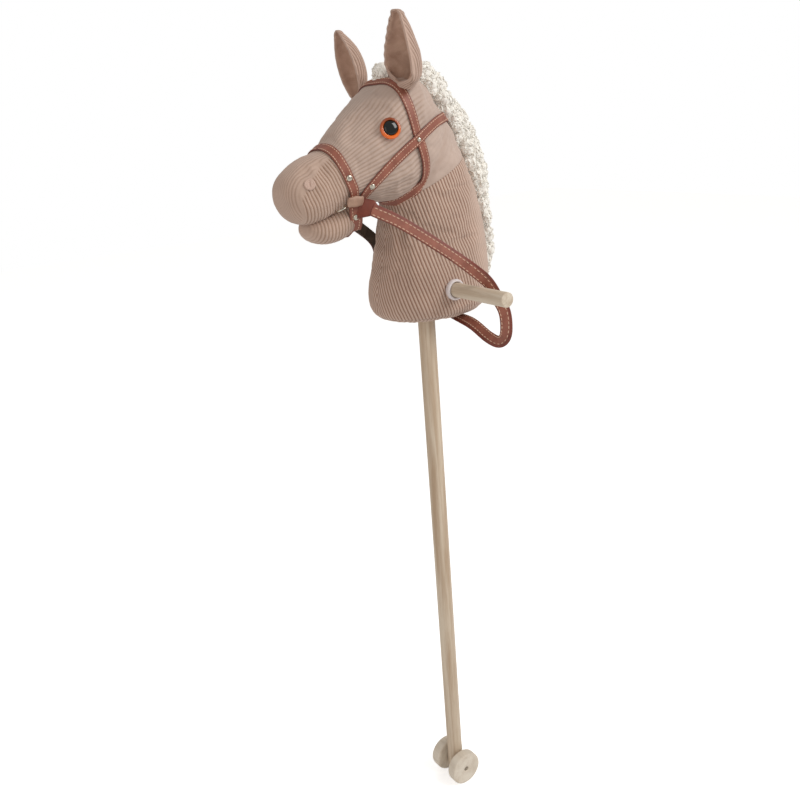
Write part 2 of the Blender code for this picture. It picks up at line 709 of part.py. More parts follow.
def ear_shell(name, sign, inset, thickness, rows):
    """An ear layer: part of a cone with a leaf's outline, open to the front."""
    base = Vector(EAR_BASE)
    tip = Vector(EAR_TIP)
    axis = (tip - base).normalized()
    step = (tip - base).length / (len(EAR_SHAPE) - 1)
    facing = Vector((-math.cos(EAR_TURN_OUT), math.sin(EAR_TURN_OUT), 0))
    facing = (facing - axis * facing.dot(axis)).normalized()
    across = axis.cross(facing)

    def surface(shape, shrink):
        grid = []
        for row, share in enumerate(EAR_SHAPE[:rows]):
            radius = EAR_WIDTH / 2 * share - shrink
            line = []
            for column in range(EAR_ACROSS + 1):
                turn = EAR_WRAP * (column / EAR_ACROSS - 0.5)
                spot = base + axis * step * row
                spot += across * radius * math.sin(turn) - facing * radius * math.cos(turn)
                spot.y *= sign
                line.append(shape.verts.new(spot))
            grid.append(line)
        for lower, upper in zip(grid, grid[1:]):
            for i in range(EAR_ACROSS):
                shape.faces.new((lower[i], lower[i + 1], upper[i + 1], upper[i]))
        left_rim = [line[0] for line in grid[-2:0:-1]]
        right_rim = [line[-1] for line in grid[1:-1]]
        return grid[0] + right_rim + grid[-1][::-1] + left_rim

    def build(shape):
        outer = surface(shape, inset)
        inner = surface(shape, inset + thickness)
        for i in range(len(outer)):
            j = (i + 1) % len(outer)
            shape.faces.new((outer[i], outer[j], inner[j], inner[i]))
    mesh = mesh_from(name, build)
    shade_round(mesh, 60)
    return mesh


def make_ears():
    """Ears of corduroy folded round a smooth lining, sewn on top of the head."""
    up = Vector((0, 0, 1))
    above_ear_seam = half_space("above_ear_seam", up * (EAR_BASE[2] + EAR_SEAM_RISE), up)
    for side, sign in SIDES.items():
        layers = {"ear_": (0.0, EAR_CLOTH, len(EAR_SHAPE), EAR_BACK),
                  "ear_lining_": (EAR_CLOTH + GAP, EAR_LINING, len(EAR_SHAPE) - 1, EAR_INSIDE)}
        for name, (inset, thickness, rows, look) in layers.items():
            ear = add_part(name + side, ear_shell(name + side, sign, inset, thickness, rows), look)
            combine(ear, above_ear_seam, "INTERSECT")
            combine(ear, body_form(GAP), "DIFFERENCE")
            combine(ear, strap_room("browband", BROWBAND_POINTS, 0), "DIFFERENCE")


def crest_below(spot):
    """The point of the crest straight below a spot on the mane's outline, seen from inside the neck."""
    depsgraph = bpy.context.evaluated_depsgraph_get()
    centre = Vector((MANE_CENTRE[0], 0, MANE_CENTRE[1]))
    inward = (centre - spot).normalized()
    hit, point, normal, index = body_form(0).evaluated_get(depsgraph).ray_cast(spot, inward)
    return point, inward


def make_mane():
    """The woolly mane, one puffy strip from between the ears down the crest."""
    sections = []
    for row, (x, z, half_width) in enumerate(spline(MANE_OUTLINE, 2)):
        crest, inward = crest_below(Vector((x, 0, z)))
        swell = MANE_WAIST if row % 2 else 1.0
        top = crest + (Vector((x, 0, z)) - crest) * swell
        root = crest + inward * MANE_ROOT
        sections.append((top.x, top.z, root.x, root.z, half_width * swell, MANE_FULLNESS))
    mane = add_part("mane", stuffed_form("mane", sections, MANE_AROUND, 0), WOOL)
    combine(mane, body_form(GAP), "DIFFERENCE")
    combine(mane, strap_room("cheek_strap", CHEEK_STRAP_POINTS, 1), "DIFFERENCE")
    combine(mane, strap_room("browband", BROWBAND_POINTS, 0), "DIFFERENCE")


def strap(name, points, lower, upper, limits=()):
    """A strap on the stuffed form: the left half is a slice between two forms, then mirrored."""
    made = solid_of(upper, name, BROWN_LEATHER)
    combine(made, slab(name + "_slab", *plane_of(points), STRAP_WIDTH), "INTERSECT")
    for limit in limits:
        combine(made, limit, "INTERSECT")
    for form in lower:
        combine(made, form, "DIFFERENCE")
    return mirrored(made)


def make_straps():
    """Noseband, browband, throat lash and the cheek strap over the poll."""
    under, upper = strap_layer(0)
    noseband = strap("noseband", NOSEBAND_POINTS, [body_form(under, True)], body_form(upper, True))
    up = Vector((0, 0, 1))
    join = up * (CROSS_PLACE[1] - STRAP_WIDTH / 2)
    above_join = half_space("above_join", join + up * GAP / 2, up)
    below_join = half_space("below_join", join - up * GAP / 2, -up)
    browband = strap("browband", BROWBAND_POINTS, [body_form(under)], body_form(upper), [above_join])
    strap("throat_lash", THROAT_POINTS, [piece_form("head", under), piece_form("neck", GAP)],
          piece_form("head", upper), [below_join])
    under, upper = strap_layer(1)
    back = Vector((1, 0, 0))
    behind_ring = half_space("behind_ring", back * CHEEK_STRAP_END, back)
    cheek = strap("cheek_strap", CHEEK_STRAP_POINTS, [body_form(under), piece_form("jaw", GAP)],
                  body_form(upper), [behind_ring])
    return noseband, browband, cheek


def make_rivets(noseband, browband, cheek):
    """Domed steel rivets, each with its shank through the strap or straps that it holds."""
    kinds = {"nose_rivet": (NOSE_RIVET_PLACE, 0, True, RIVET_DIAMETER, [noseband]),
             "chin_rivet": (CHIN_RIVET_PLACE, 0, True, RIVET_DIAMETER, [noseband]),
             "cheek_rivet": (CHEEK_RIVET_PLACE, 1, False, RIVET_DIAMETER, [cheek]),
             "cross_rivet": (CROSS_PLACE, 1, False, CROSS_RIVET_DIAMETER, [cheek, browband])}
    for kind, (place, layer, jaw, diameter, straps) in kinds.items():
        under, upper = strap_layer(layer)
        for side, sign in SIDES.items():
            seat = seat_frame(*surface_at(place, sign, body_form(upper, jaw)))
            head = diameter / 2
            shank = RIVET_SHANK_DIAMETER / 2
            dome = [(head * out, GAP + RIVET_DOME * up) for out, up in RIVET_PROFILE]
            profile = [(shank, GAP - upper), (shank, GAP)] + dome
            name = kind + "_" + side
            add_part(name, turned(name, profile, RIVET_SIDES, seat), STEEL)
            profile = [(shank + GAP, -2 * upper), (shank + GAP, upper)]
            drill = add_cutter(name + "_hole", turned(name + "_hole", profile, RIVET_SIDES, seat))
            for held in straps:
                combine(held, drill, "DIFFERENCE")


def ribbon(name, rows, thickness, look):
    """A flat strip through rows of place, width direction and width."""
    def build(shape):
        rings = []
        for i, row in enumerate(rows):
            spot = Vector(row[0:3])
            ahead = Vector(rows[min(i + 1, len(rows) - 1)][0:3])
            behind = Vector(rows[max(i - 1, 0)][0:3])
            along = (ahead - behind).normalized()
            lean = Vector(row[3:6])
            across = (lean - along * lean.dot(along)).normalized() * row[6] / 2
            face = along.cross(across).normalized() * thickness / 2
            corners = (across + face, -across + face, -across - face, across - face)
            rings.append([shape.verts.new(spot + corner) for corner in corners])
        for lower, upper in zip(rings, rings[1:]):
            for i in range(4):
                j = (i + 1) % 4
                shape.faces.new((lower[i], lower[j], upper[j], upper[i]))
        shape.faces.new(rings[0])
        shape.faces.new(rings[-1])
    mesh = mesh_from(name, build)
    shade_round(mesh)
    return add_part(name, mesh, look)


def make_bits_and_rein():
    """A ring at each corner of the mouth under a leather tab, and the rein between the two rings."""
    route = [Vector((*place, *lean, REIN_WIDTH)) for place, lean in REIN_ROUTE]
    ribbon("rein", spline(route, REIN_STEPS), REIN_THICKNESS, BROWN_LEATHER)
    wire = RING_WIRE / 2
    circle = [(RING_RADIUS + wire * math.cos(a), wire + wire * math.sin(a))
              for a in [2 * math.pi * i / WIRE_SIDES for i in range(WIRE_SIDES)]]
    for side, sign in SIDES.items():
        seat = seat_frame(*surface_at(RING_PLACE, sign, body_form(strap_layer(1)[0])))
        add_part("bit_ring_" + side, turned("bit_ring_" + side, circle, RING_SIDES, seat, ring=True), STEEL)
        make_bit_tab(side, sign)

        end, after = (route[0], route[1]) if sign < 0 else (route[-1], route[-2])
        along = (Vector(end[0:3]) - Vector(after[0:3])).normalized()
        joint = Vector(end[0:3]) + along * TONGUE_GAP
        root = Vector(TONGUE_ROOT)
        root.y *= -sign
        rows = [(*joint, *end[3:6], TONGUE_WIDTH), (*(joint + along * LEATHER), *end[3:6], TONGUE_WIDTH),
                (*root, *end[3:6], TONGUE_ROOT_WIDTH)]
        tongue = ribbon("rein_tongue_" + side, rows, LEATHER, BROWN_LEATHER)
        combine(tongue, body_form(strap_layer(1)[0], True), "DIFFERENCE")


def make_bit_tab(side, sign):
    """The leather tab over the ring and the noseband."""
    seat = seat_frame(*surface_at(TAB_PLACE, sign, body_form(strap_layer(2)[0])))

    def build(shape):
        block = Matrix.Diagonal((TAB_WIDTH, TAB_HEIGHT, LEATHER, 1))
        lift = Matrix.Translation((0, 0, TAB_LIFT + LEATHER / 2))
        bmesh.ops.create_cube(shape, size=1, matrix=seat @ lift @ block)
    tab = add_part("bit_tab_" + side, mesh_from("bit_tab_" + side, build), BEIGE_LEATHER)
    soften = tab.modifiers.new("soft_edge", "BEVEL")
    soften.width = TAB_EDGE
    soften.segments = 1


make_pole()
make_bar()
make_wheels()
make_collars()
make_covers_and_stuffing()
make_eyes()
make_nostrils()
make_ears()
make_mane()
make_rivets(*make_straps())
make_bits_and_rein()
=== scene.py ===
import bmesh
import bpy
import math
import numpy as np
from mathutils import Matrix, Vector
from mathutils.bvhtree import BVHTree
from mathutils.kdtree import KDTree


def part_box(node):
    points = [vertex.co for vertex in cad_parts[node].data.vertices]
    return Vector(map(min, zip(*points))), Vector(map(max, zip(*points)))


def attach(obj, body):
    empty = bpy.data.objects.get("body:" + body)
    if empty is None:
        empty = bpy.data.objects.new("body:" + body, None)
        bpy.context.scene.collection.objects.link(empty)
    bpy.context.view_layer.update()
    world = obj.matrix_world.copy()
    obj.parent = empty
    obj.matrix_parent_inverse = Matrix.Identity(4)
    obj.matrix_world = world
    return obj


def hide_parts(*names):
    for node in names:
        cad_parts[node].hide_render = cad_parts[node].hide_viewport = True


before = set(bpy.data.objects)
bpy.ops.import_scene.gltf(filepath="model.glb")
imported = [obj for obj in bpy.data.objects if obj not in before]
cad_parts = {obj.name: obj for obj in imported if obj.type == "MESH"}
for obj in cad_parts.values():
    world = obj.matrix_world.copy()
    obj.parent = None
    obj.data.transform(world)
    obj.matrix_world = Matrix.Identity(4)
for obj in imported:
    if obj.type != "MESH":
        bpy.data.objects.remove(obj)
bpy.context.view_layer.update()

bpy.ops.object.select_all(action="DESELECT")

# Camera. It stands to the front left of the horse, a little above the grip bar,
# looks down by nineteen degrees and is rolled by four and a half.
camera_data = bpy.data.cameras.new("camera")
camera_data.lens = 37.873
camera_data.sensor_fit = "HORIZONTAL"
camera = bpy.data.objects.new("camera", camera_data)
camera.location = (-0.55407, -0.78475, 0.18876)
camera.rotation_euler = [math.radians(turn) for turn in (71.31, 4.2847, -34.4195)]
bpy.context.scene.collection.objects.link(camera)
bpy.context.scene.camera = camera


# Rein. A limp strap of two layers of brown leather, stitched along both edges, that hangs over
# both ends of the bar. Its outer face is finished and its inner face is dark and rough.
rein_width = 0.0132
rein_thickness = 0.0022
# Where the rein's middle lies, from the left tongue to the right one, and which way its width points
rein_route = [
    ((-0.0927, -0.0490, 0.0974), (0.30, 0.10, 0.95)),
    ((-0.0877, -0.0520, 0.0945), (0.35, 0.10, 0.93)),
    ((-0.0685, -0.0620, 0.0825), (0.45, 0.10, 0.88)),
    ((-0.0408, -0.0745, 0.0608), (0.50, 0.10, 0.85)),
    ((-0.0141, -0.0880, 0.0376), (0.50, 0.10, 0.85)),
    ((0.0018, -0.1000, 0.0204), (0.46, -0.30, 0.80)),
    ((0.0095, -0.1060, 0.0100), (0.36, -0.78, 0.46)),
    ((0.0135, -0.1115, -0.0030), (0.60, -0.75, 0.15)),
    ((0.0172, -0.1190, -0.0180), (0.80, -0.58, 0.00)),
    ((0.0175, -0.1215, -0.0335), (0.82, -0.55, -0.12)),
    ((0.0186, -0.1170, -0.0480), (0.345, -0.534, -0.772)),
    ((0.0185, -0.1060, -0.0548), (-0.167, -0.272, -0.947)),
    ((0.0175, -0.0900, -0.0515), (-0.60, 0.06, -0.79)),
    ((0.0200, -0.0640, -0.0432), (-0.70, 0.139, -0.70)),
    ((0.0245, -0.0400, -0.0410), (-0.86, 0.10, -0.50)),
    ((0.0280, -0.0100, -0.0400), (-1.00, 0.00, 0.00)),
    ((0.0320, 0.0240, -0.0410), (-0.90, -0.40, 0.00)),
    ((0.0340, 0.0580, -0.0360), (-0.30, -0.90, -0.20)),
    ((0.0280, 0.0790, -0.0170), (0.15, -0.98, 0.00)),
    ((0.0160, 0.0810, 0.0020), (0.00, -1.00, 0.00)),
    ((0.0080, 0.0800, 0.0125), (0.00, -1.00, 0.10)),
    ((-0.0020, 0.0785, 0.0170), (0.10, -0.90, 0.40)),
    ((-0.0120, 0.0720, 0.0310), (0.30, -0.50, 0.80)),
    ((-0.0254, 0.0600, 0.0486), (0.50, -0.20, 0.84)),
    ((-0.0426, 0.0600, 0.0643), (0.50, 0.10, 0.80)),
    ((-0.0927, 0.0490, 0.0974), (0.30, -0.10, 0.95)),
]


def paint(red, green, blue):
    """A colour given as it shows on a screen, 0 to 255."""
    return (*[((c / 255 + 0.055) / 1.055) ** 2.4 for c in (red, green, blue)], 1.0)


def add_node(tree, kind, inputs=None, **settings):
    """A shader node with its settings, and its inputs set or linked."""
    node = tree.nodes.new("ShaderNode" + kind)
    for key, value in settings.items():
        setattr(node, key, value)
    for key, value in (inputs or {}).items():
        if isinstance(value, bpy.types.NodeSocket):
            tree.links.new(value, node.inputs[key])
        else:
            node.inputs[key].default_value = value
    return node


def new_material(name, roughness):
    """A Principled material with its tree and shader node."""
    material = bpy.data.materials.new(name)
    material.use_nodes = True
    shader = material.node_tree.nodes["Principled BSDF"]
    shader.inputs["Roughness"].default_value = roughness
    return material, material.node_tree, shader


def ramp(tree, share, first, last, start=0.0, end=1.0):
    """A colour that goes from the first to the last as a share goes from start to end."""
    node = add_node(tree, "ValToRGB", {"Fac": share})
    for i, (position, colour) in enumerate(((start, first), (end, last))):
        node.color_ramp.elements[i].position = position
        node.color_ramp.elements[i].color = colour
    return node.outputs[0]


def noise(tree, spot, scale, detail=2.0, distortion=0.0):
    """Soft noise."""
    return add_node(tree, "TexNoise", {"Vector": spot, "Scale": scale, "Detail": detail,
                                       "Distortion": distortion}).outputs["Fac"]


def calc(tree, operation, *values, **settings):
    """One step of arithmetic."""
    return add_node(tree, "Math", dict(enumerate(values)), operation=operation, **settings).outputs[0]


def stored(tree, name):
    """A number that is kept with the points of the mesh."""
    return add_node(tree, "Attribute", attribute_name=name).outputs["Fac"]


def bump(tree, shader, height, strength, distance):
    """Fine relief on a shader."""
    node = add_node(tree, "Bump", {"Height": height, "Strength": strength, "Distance": distance})
    tree.links.new(node.outputs[0], shader.inputs["Normal"])


def mottled(name, roughness, first, last, scale, detail=2.0, relief=None, sockets=None):
    """A material that wavers between two colours, with fine relief and other sockets if given."""
    material, tree, shader = new_material(name, roughness)
    spot = add_node(tree, "TexCoord").outputs["Object"]
    waver = noise(tree, spot, scale, detail)
    tree.links.new(ramp(tree, waver, first, last), shader.inputs["Base Color"])
    if relief:
        bump(tree, shader, waver, *relief)
    for key, value in (sockets or {}).items():
        shader.inputs[key].default_value = value
    return material


def leather(name, finished, worn, roughness=0.5):
    """Grained leather, a little darker in patches and along its edges."""
    material, tree, shader = new_material(name, roughness)
    spot = add_node(tree, "TexCoord").outputs["Object"]
    dark = calc(tree, "MULTIPLY", stored(tree, "edge"), 0.62)
    blotch = add_node(tree, "MapRange", {"Value": noise(tree, spot, 110.0, 4.0), "From Min": 0.35,
                                         "From Max": 0.7, "To Max": 0.45}).outputs[0]
    share = calc(tree, "ADD", dark, blotch, use_clamp=True)
    tree.links.new(ramp(tree, share, finished, worn), shader.inputs["Base Color"])
    grain = add_node(tree, "TexVoronoi", {"Vector": spot, "Scale": 1500.0})
    bump(tree, shader, grain.outputs["Distance"], 0.25, 0.0004)
    return material


def smooth_through(points, steps):
    """A smooth curve through rows of numbers, some steps between neighbours."""
    rows = [np.array(point, float) for point in points]
    held = [rows[0] * 2 - rows[1]] + rows + [rows[-1] * 2 - rows[-2]]
    curve = []
    for a, b, c, d in zip(held, held[1:], held[2:], held[3:]):
        for step in range(steps):
            t = step / steps
            curve.append(0.5 * (2 * b + (c - a) * t + (2 * a - 5 * b + 4 * c - d) * t * t
                                + (3 * b - a - 3 * c + d) * t ** 3))
    return curve + [rows[-1]]


def cross_rows(line):
    """For each point of a line with a width direction: place, across and outward unit vectors."""
    rows = []
    for i, row in enumerate(line):
        along = Vector(line[min(i + 1, len(line) - 1)][:3]) - Vector(line[max(i - 1, 0)][:3])
        along.normalize()
        lean = Vector(row[3:6])
        across = (lean - along * lean.dot(along)).normalized()
        rows.append((Vector(row[:3]), across, along.cross(across).normalized()))
    return rows


def tube(shape, rings):
    """Faces between rings of points, and one over each end."""
    for lower, upper in zip(rings, rings[1:]):
        for i in range(len(lower)):
            j = (i + 1) % len(lower)
            shape.faces.new((lower[i], lower[j], upper[j], upper[i]))
    shape.faces.new(rings[0])
    shape.faces.new(rings[-1])


def smooth_piece(name, shape):
    """A smooth piece of a finished shape."""
    mesh = bpy.data.meshes.new(name)
    shape.to_mesh(mesh)
    shape.free()
    mesh.shade_smooth()
    piece = bpy.data.objects.new(name, mesh)
    bpy.context.scene.collection.objects.link(piece)
    return piece


def strip(name, rows, widths, thickness):
    """A flat strap with rounded edges; "edge" runs from 0 in the middle of its face to 1 at its rim."""
    rounding = 0.0005
    shape = bmesh.new()
    edge = shape.verts.layers.float.new("edge")
    rings = []
    for (place, across, outward), width in zip(rows, widths):
        profile = []
        for corner, (u, v) in enumerate(((1, 1), (-1, 1), (-1, -1), (1, -1))):
            for turn in (0, 45, 90):
                a = math.radians(corner * 90 + turn)
                profile.append((u * (width / 2 - rounding) + rounding * math.cos(a),
                                v * (thickness / 2 - rounding) + rounding * math.sin(a)))
        # More points across the outer face and round one of its edges, for an even "edge"
        for i in (3, 10):
            left, right = np.array(profile[i - 1]), np.array(profile[i])
            profile[i:i] = [tuple(left + (right - left) * s) for s in (0.12, 0.3, 0.5, 0.7, 0.88)]
        ring = []
        for u, v in profile:
            vert = shape.verts.new(place + across * u + outward * v)
            vert[edge] = min(1.0, max(0.0, (abs(u) / (width / 2) - 0.8) * 5))
            ring.append(vert)
        rings.append(ring)
    tube(shape, rings)
    bmesh.ops.recalc_face_normals(shape, faces=shape.faces)
    return smooth_piece(name, shape)


thread = mottled("cream_thread", 0.8, paint(206, 168, 142), paint(232, 200, 178), 2500.0,
                 relief=(0.4, 0.0002))
thread_thickness = 0.0009


def stitches(name, rows, offset, height, length, gap, bare):
    """Lines of thread along both edges of a strap, bare at its ends, each stitch a small grain."""
    shape = bmesh.new()
    places = [row[0] for row in rows]
    travel = [0.0]
    for a, b in zip(places, places[1:]):
        travel.append(travel[-1] + (b - a).length)
    size = Matrix.Diagonal((length / 2, thread_thickness / 2, thread_thickness / 2.6, 1))
    at = bare + length / 2
    while at < travel[-1] - bare - length / 2:
        i = max(k for k in range(len(travel) - 1) if travel[k] <= at)
        t = (at - travel[i]) / max(travel[i + 1] - travel[i], 1e-9)
        place = places[i].lerp(places[i + 1], t)
        across = rows[i][1].lerp(rows[i + 1][1], t).normalized()
        outward = rows[i][2].lerp(rows[i + 1][2], t).normalized()
        along = across.cross(outward).normalized()
        turn = Matrix((along, across, outward)).transposed().to_4x4()
        for side in (-1, 1):
            spot = Matrix.Translation(place + across * offset * side + outward * height)
            bmesh.ops.create_uvsphere(shape, u_segments=6, v_segments=5, radius=1.0,
                                      matrix=spot @ turn @ size @ Matrix.Rotation(math.pi / 2, 4, "Y"))
        at += length + gap
    piece = smooth_piece(name, shape)
    piece.data.materials.append(thread)
    return piece


def use_only(*pieces):
    """Select these pieces alone, with the first one active."""
    bpy.ops.object.select_all(action="DESELECT")
    for piece in pieces:
        piece.select_set(True)
    bpy.context.view_layer.objects.active = pieces[0]


def join(*pieces):
    """Join pieces into the first one."""
    use_only(*pieces)
    bpy.ops.object.join()
    return pieces[0]


brown_leather = leather("brown_leather", paint(152, 92, 74), paint(104, 52, 40))
red_leather = leather("red_brown_leather", paint(138, 72, 58), paint(104, 48, 38), 0.45)
flesh_side = leather("rough_flesh_side", paint(92, 80, 68), paint(70, 60, 52), 0.8)

rein_line = smooth_through([(*place, *lean) for place, lean in rein_route], 8)
rein_rows = cross_rows(rein_line)


def shifted(rows, sideways, outwards):
    """The same rows moved across and out by fixed amounts."""
    return [(place + across * sideways + outward * outwards, across, outward)
            for place, across, outward in rows]


def two_faced(piece):
    """Give a strap its finished face and the rough flesh side for the other."""
    piece.data.materials.append(red_leather)
    piece.data.materials.append(flesh_side)


back_layer = 0.0012
front_layer = 0.0011
back_rows = shifted(rein_rows, sideways=0, outwards=-0.0005)
rein = strip("rein", back_rows, [rein_width] * len(rein_rows), back_layer)
two_faced(rein)
for face in rein.data.polygons:
    nearest = min(rein_rows, key=lambda row: (row[0] - face.center).length_squared)
    if (face.center - nearest[0]).dot(nearest[2]) < -rein_thickness * 0.45:
        face.material_index = 1
front_rows = shifted(rein_rows, sideways=-0.0013, outwards=0.0006)
front_end = [0.0044, 0.0080, 0.0098]
front_widths = front_end + [0.0105] * (len(front_rows) - 2 * len(front_end)) + front_end[::-1]
front = strip("rein_front", front_rows, front_widths, front_layer)
front.data.materials.append(brown_leather)
rein_stitching = stitches("rein_stitching", front_rows, offset=0.0036, height=0.0006, length=0.0036,
                          gap=0.0012, bare=0.002)
rein = join(rein, front, rein_stitching)
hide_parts("rein")
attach(rein, "horse")

# Tongues. A plain tab of darker leather at each end of the rein, wide where it comes out from
# under the noseband and narrow where the rein is sewn on top of it.
both_sides = (("left", -1), ("right", 1))
tongue_layer = 0.0014
tongue_depth = 0.0021
tongue_rise = Vector((0, 0, 0.0016))
tongue_width = 0.0126
tongue_flare = 0.0104
for side, sign in both_sides:
    along_rein = rein_rows if sign < 0 else rein_rows[::-1]
    root = Vector((-0.1020, sign * 0.0275, 0.0985))
    lap = [(*(place - outward * tongue_depth), *across) for place, across, outward in along_rein[:11:2]]
    lean = Vector(lap[0][3:])
    start = Vector(lap[0][:3])
    reach = [(*root.lerp(start, t), *Vector((-0.05, 0, 1)).lerp(lean, t))
             for t in (0, 0.2, 0.42, 0.64, 0.84)]
    rows = cross_rows(smooth_through(reach + lap, 3))
    rows = [(place + tongue_rise * math.sin(min(1.0, i / 28.0) * math.pi), across, outward)
            for i, (place, across, outward) in enumerate(rows)]
    widths = [tongue_width + tongue_flare * max(0.0, 1 - i / 26.0) ** 1.1 for i in range(len(rows))]
    tongue = strip("rein_tongue_" + side, rows, widths, tongue_layer)
    two_faced(tongue)
    for face in tongue.data.polygons:
        if face.center.y * sign > 0 and face.normal.y * sign < -0.3:
            face.material_index = 1
    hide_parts("rein_tongue_" + side)
    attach(tongue, "horse")


# Pole and grip bar. Two sanded pine dowels with the grain along them; the bar goes through the
# neck and the pole, and its sawn ends show.
def wood(name, light, dark, axis, ring_scale=160.0):
    """Bare wood: long fibres and faint growth rings that run along one axis."""
    material, tree, shader = new_material(name, 0.55)
    spot = add_node(tree, "TexCoord").outputs["Object"]
    squeeze = [1.0, 1.0, 1.0]
    squeeze["XYZ".index(axis)] = 0.045
    mapped = add_node(tree, "Mapping", {"Vector": spot, "Scale": squeeze}).outputs[0]
    rings = noise(tree, mapped, ring_scale, 3.0, 0.6)
    fibres = noise(tree, mapped, ring_scale * 9, 5.0)
    blend = calc(tree, "MULTIPLY_ADD", fibres, 0.35, rings)
    tree.links.new(ramp(tree, blend, dark, light, 0.45, 0.85), shader.inputs["Base Color"])
    bump(tree, shader, blend, 0.2, 0.0004)
    return material


pole_pine = wood("pole_pine", paint(214, 199, 178), paint(182, 158, 132), "Z")
bar_pine = wood("bar_pine", paint(218, 206, 188), paint(190, 172, 150), "Y")


def apply_modifier(piece, kind, **settings):
    """Add one modifier and apply it at once."""
    use_only(piece)
    step = piece.modifiers.new(kind.lower(), kind)
    for key, value in settings.items():
        setattr(step, key, value)
    bpy.ops.object.modifier_apply(modifier=step.name)


def dowel(name, radius, low, high, axis, material, ease):
    """A rod along Y or Z, its end edges eased by sanding."""
    turn = (math.pi / 2, 0, 0) if axis == "Y" else (0, 0, 0)
    low, high = Vector(low), Vector(high)
    bpy.ops.mesh.primitive_cylinder_add(vertices=72, radius=radius, depth=(high - low).length,
                                        location=(low + high) / 2, rotation=turn)
    piece = bpy.context.object
    piece.name = name
    apply_modifier(piece, "BEVEL", width=ease, segments=3)
    bpy.ops.object.transform_apply(location=True, rotation=True, scale=True)
    bpy.ops.object.shade_smooth_by_angle(angle=math.radians(35))
    piece.data.materials.append(material)
    return piece


pole_radius = 0.010
pole = dowel("pole", pole_radius, (0, 0, -0.6908), (0, 0, 0.160), "Z", pole_pine, ease=0.001)
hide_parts("pole")
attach(pole, "horse")
bar_radius = 0.008
grip_bar = dowel("handle_bar", bar_radius, (0, -0.145, 0), (0, 0.100, 0), "Y", bar_pine, ease=0.0008)
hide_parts("handle_bar")
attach(grip_bar, "horse")


# Wheels and axle. Two discs turned from pale close-grained wood, glued on a thin dowel that
# spins in the foot of the pole. Their rims are rounded over and their faces are flat.
axle_radius = 0.003
axle_height = -0.6788
wheel_inner = 0.0113
wheel_width = 0.014
wheel_radius = 0.0225
wheel_wood = wood("wheel_wood", paint(226, 217, 202), paint(204, 190, 172), "Y", 60.0)
end_grain = wood("axle_end_grain", paint(150, 138, 120), paint(112, 100, 84), "Y", 900.0)


def lathe(name, profile, sides, place, material, angle=35):
    """A turned piece: a profile of (radius, height) points spun about its own axis."""
    bpy.ops.mesh.primitive_circle_add(vertices=sides, radius=1.0, fill_type="NOTHING")
    piece = bpy.context.object
    piece.name = name
    shape = bmesh.new()
    shape.from_mesh(piece.data)
    first = list(shape.verts)
    turns = [math.atan2(vert.co.y, vert.co.x) for vert in first]
    order = sorted(range(len(first)), key=lambda i: turns[i])
    bmesh.ops.delete(shape, geom=shape.verts, context="VERTS")
    rings = []
    for radius, height in profile:
        if radius < 1e-6:
            rings.append([shape.verts.new(place @ Vector((0, 0, height)))])
        else:
            rings.append([shape.verts.new(place @ Vector((radius * math.cos(turns[i]),
                                                          radius * math.sin(turns[i]), height)))
                          for i in order])
    for lower, upper in zip(rings, rings[1:]):
        for i in range(sides):
            j = (i + 1) % sides
            corners = [lower[i % len(lower)], lower[j % len(lower)],
                       upper[j % len(upper)], upper[i % len(upper)]]
            unique = list(dict.fromkeys(corners))
            if len(unique) > 2:
                shape.faces.new(unique)
    bmesh.ops.recalc_face_normals(shape, faces=shape.faces)
    shape.to_mesh(piece.data)
    shape.free()
    use_only(piece)
    bpy.ops.object.shade_smooth_by_angle(angle=math.radians(angle))
    piece.data.materials.append(material)
    return piece


def rounded(points, radius, steps=5):
    """A profile with each inner corner replaced by a small arc."""
    line = [Vector((*points[0], 0))]
    for a, b, c in zip(points, points[1:], points[2:]):
        a, b, c = (Vector((*p, 0)) for p in (a, b, c))
        back = (a - b).normalized() * min(radius, (a - b).length / 2)
        ahead = (c - b).normalized() * min(radius, (c - b).length / 2)
        for step in range(steps + 1):
            t = step / steps
            line.append((b + back) * (1 - t) ** 2 + b * 2 * t * (1 - t) + (b + ahead) * t * t)
    line.append(Vector((*points[-1], 0)))
    return [(p.x, p.y) for p in line]


for side, sign in both_sides:
    outward = Matrix.Translation((0, sign * wheel_inner, axle_height)) @ Matrix.Rotation(
        math.radians(-90 * sign), 4, "X")
    wheel_profile = rounded([(axle_radius, 0.0), (0.0205, 0.0), (wheel_radius, 0.0012),
                             (wheel_radius, 0.0125), (0.0210, wheel_width), (0.0042, wheel_width),
                             (0.0036, wheel_width - 0.0008), (0.0031, wheel_width - 0.0014)], 0.0022)
    wheel = lathe("wheel_" + side, wheel_profile, 96, outward, wheel_wood)
    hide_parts("wheel_" + side)
    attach(wheel, "wheelset")
axle_reach = wheel_inner + wheel_width - 0.001
axle = dowel("axle", axle_radius, (0, -axle_reach, axle_height), (0, axle_reach, axle_height), "Y",
             end_grain, ease=0.0004)
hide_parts("axle")
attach(axle, "wheelset")


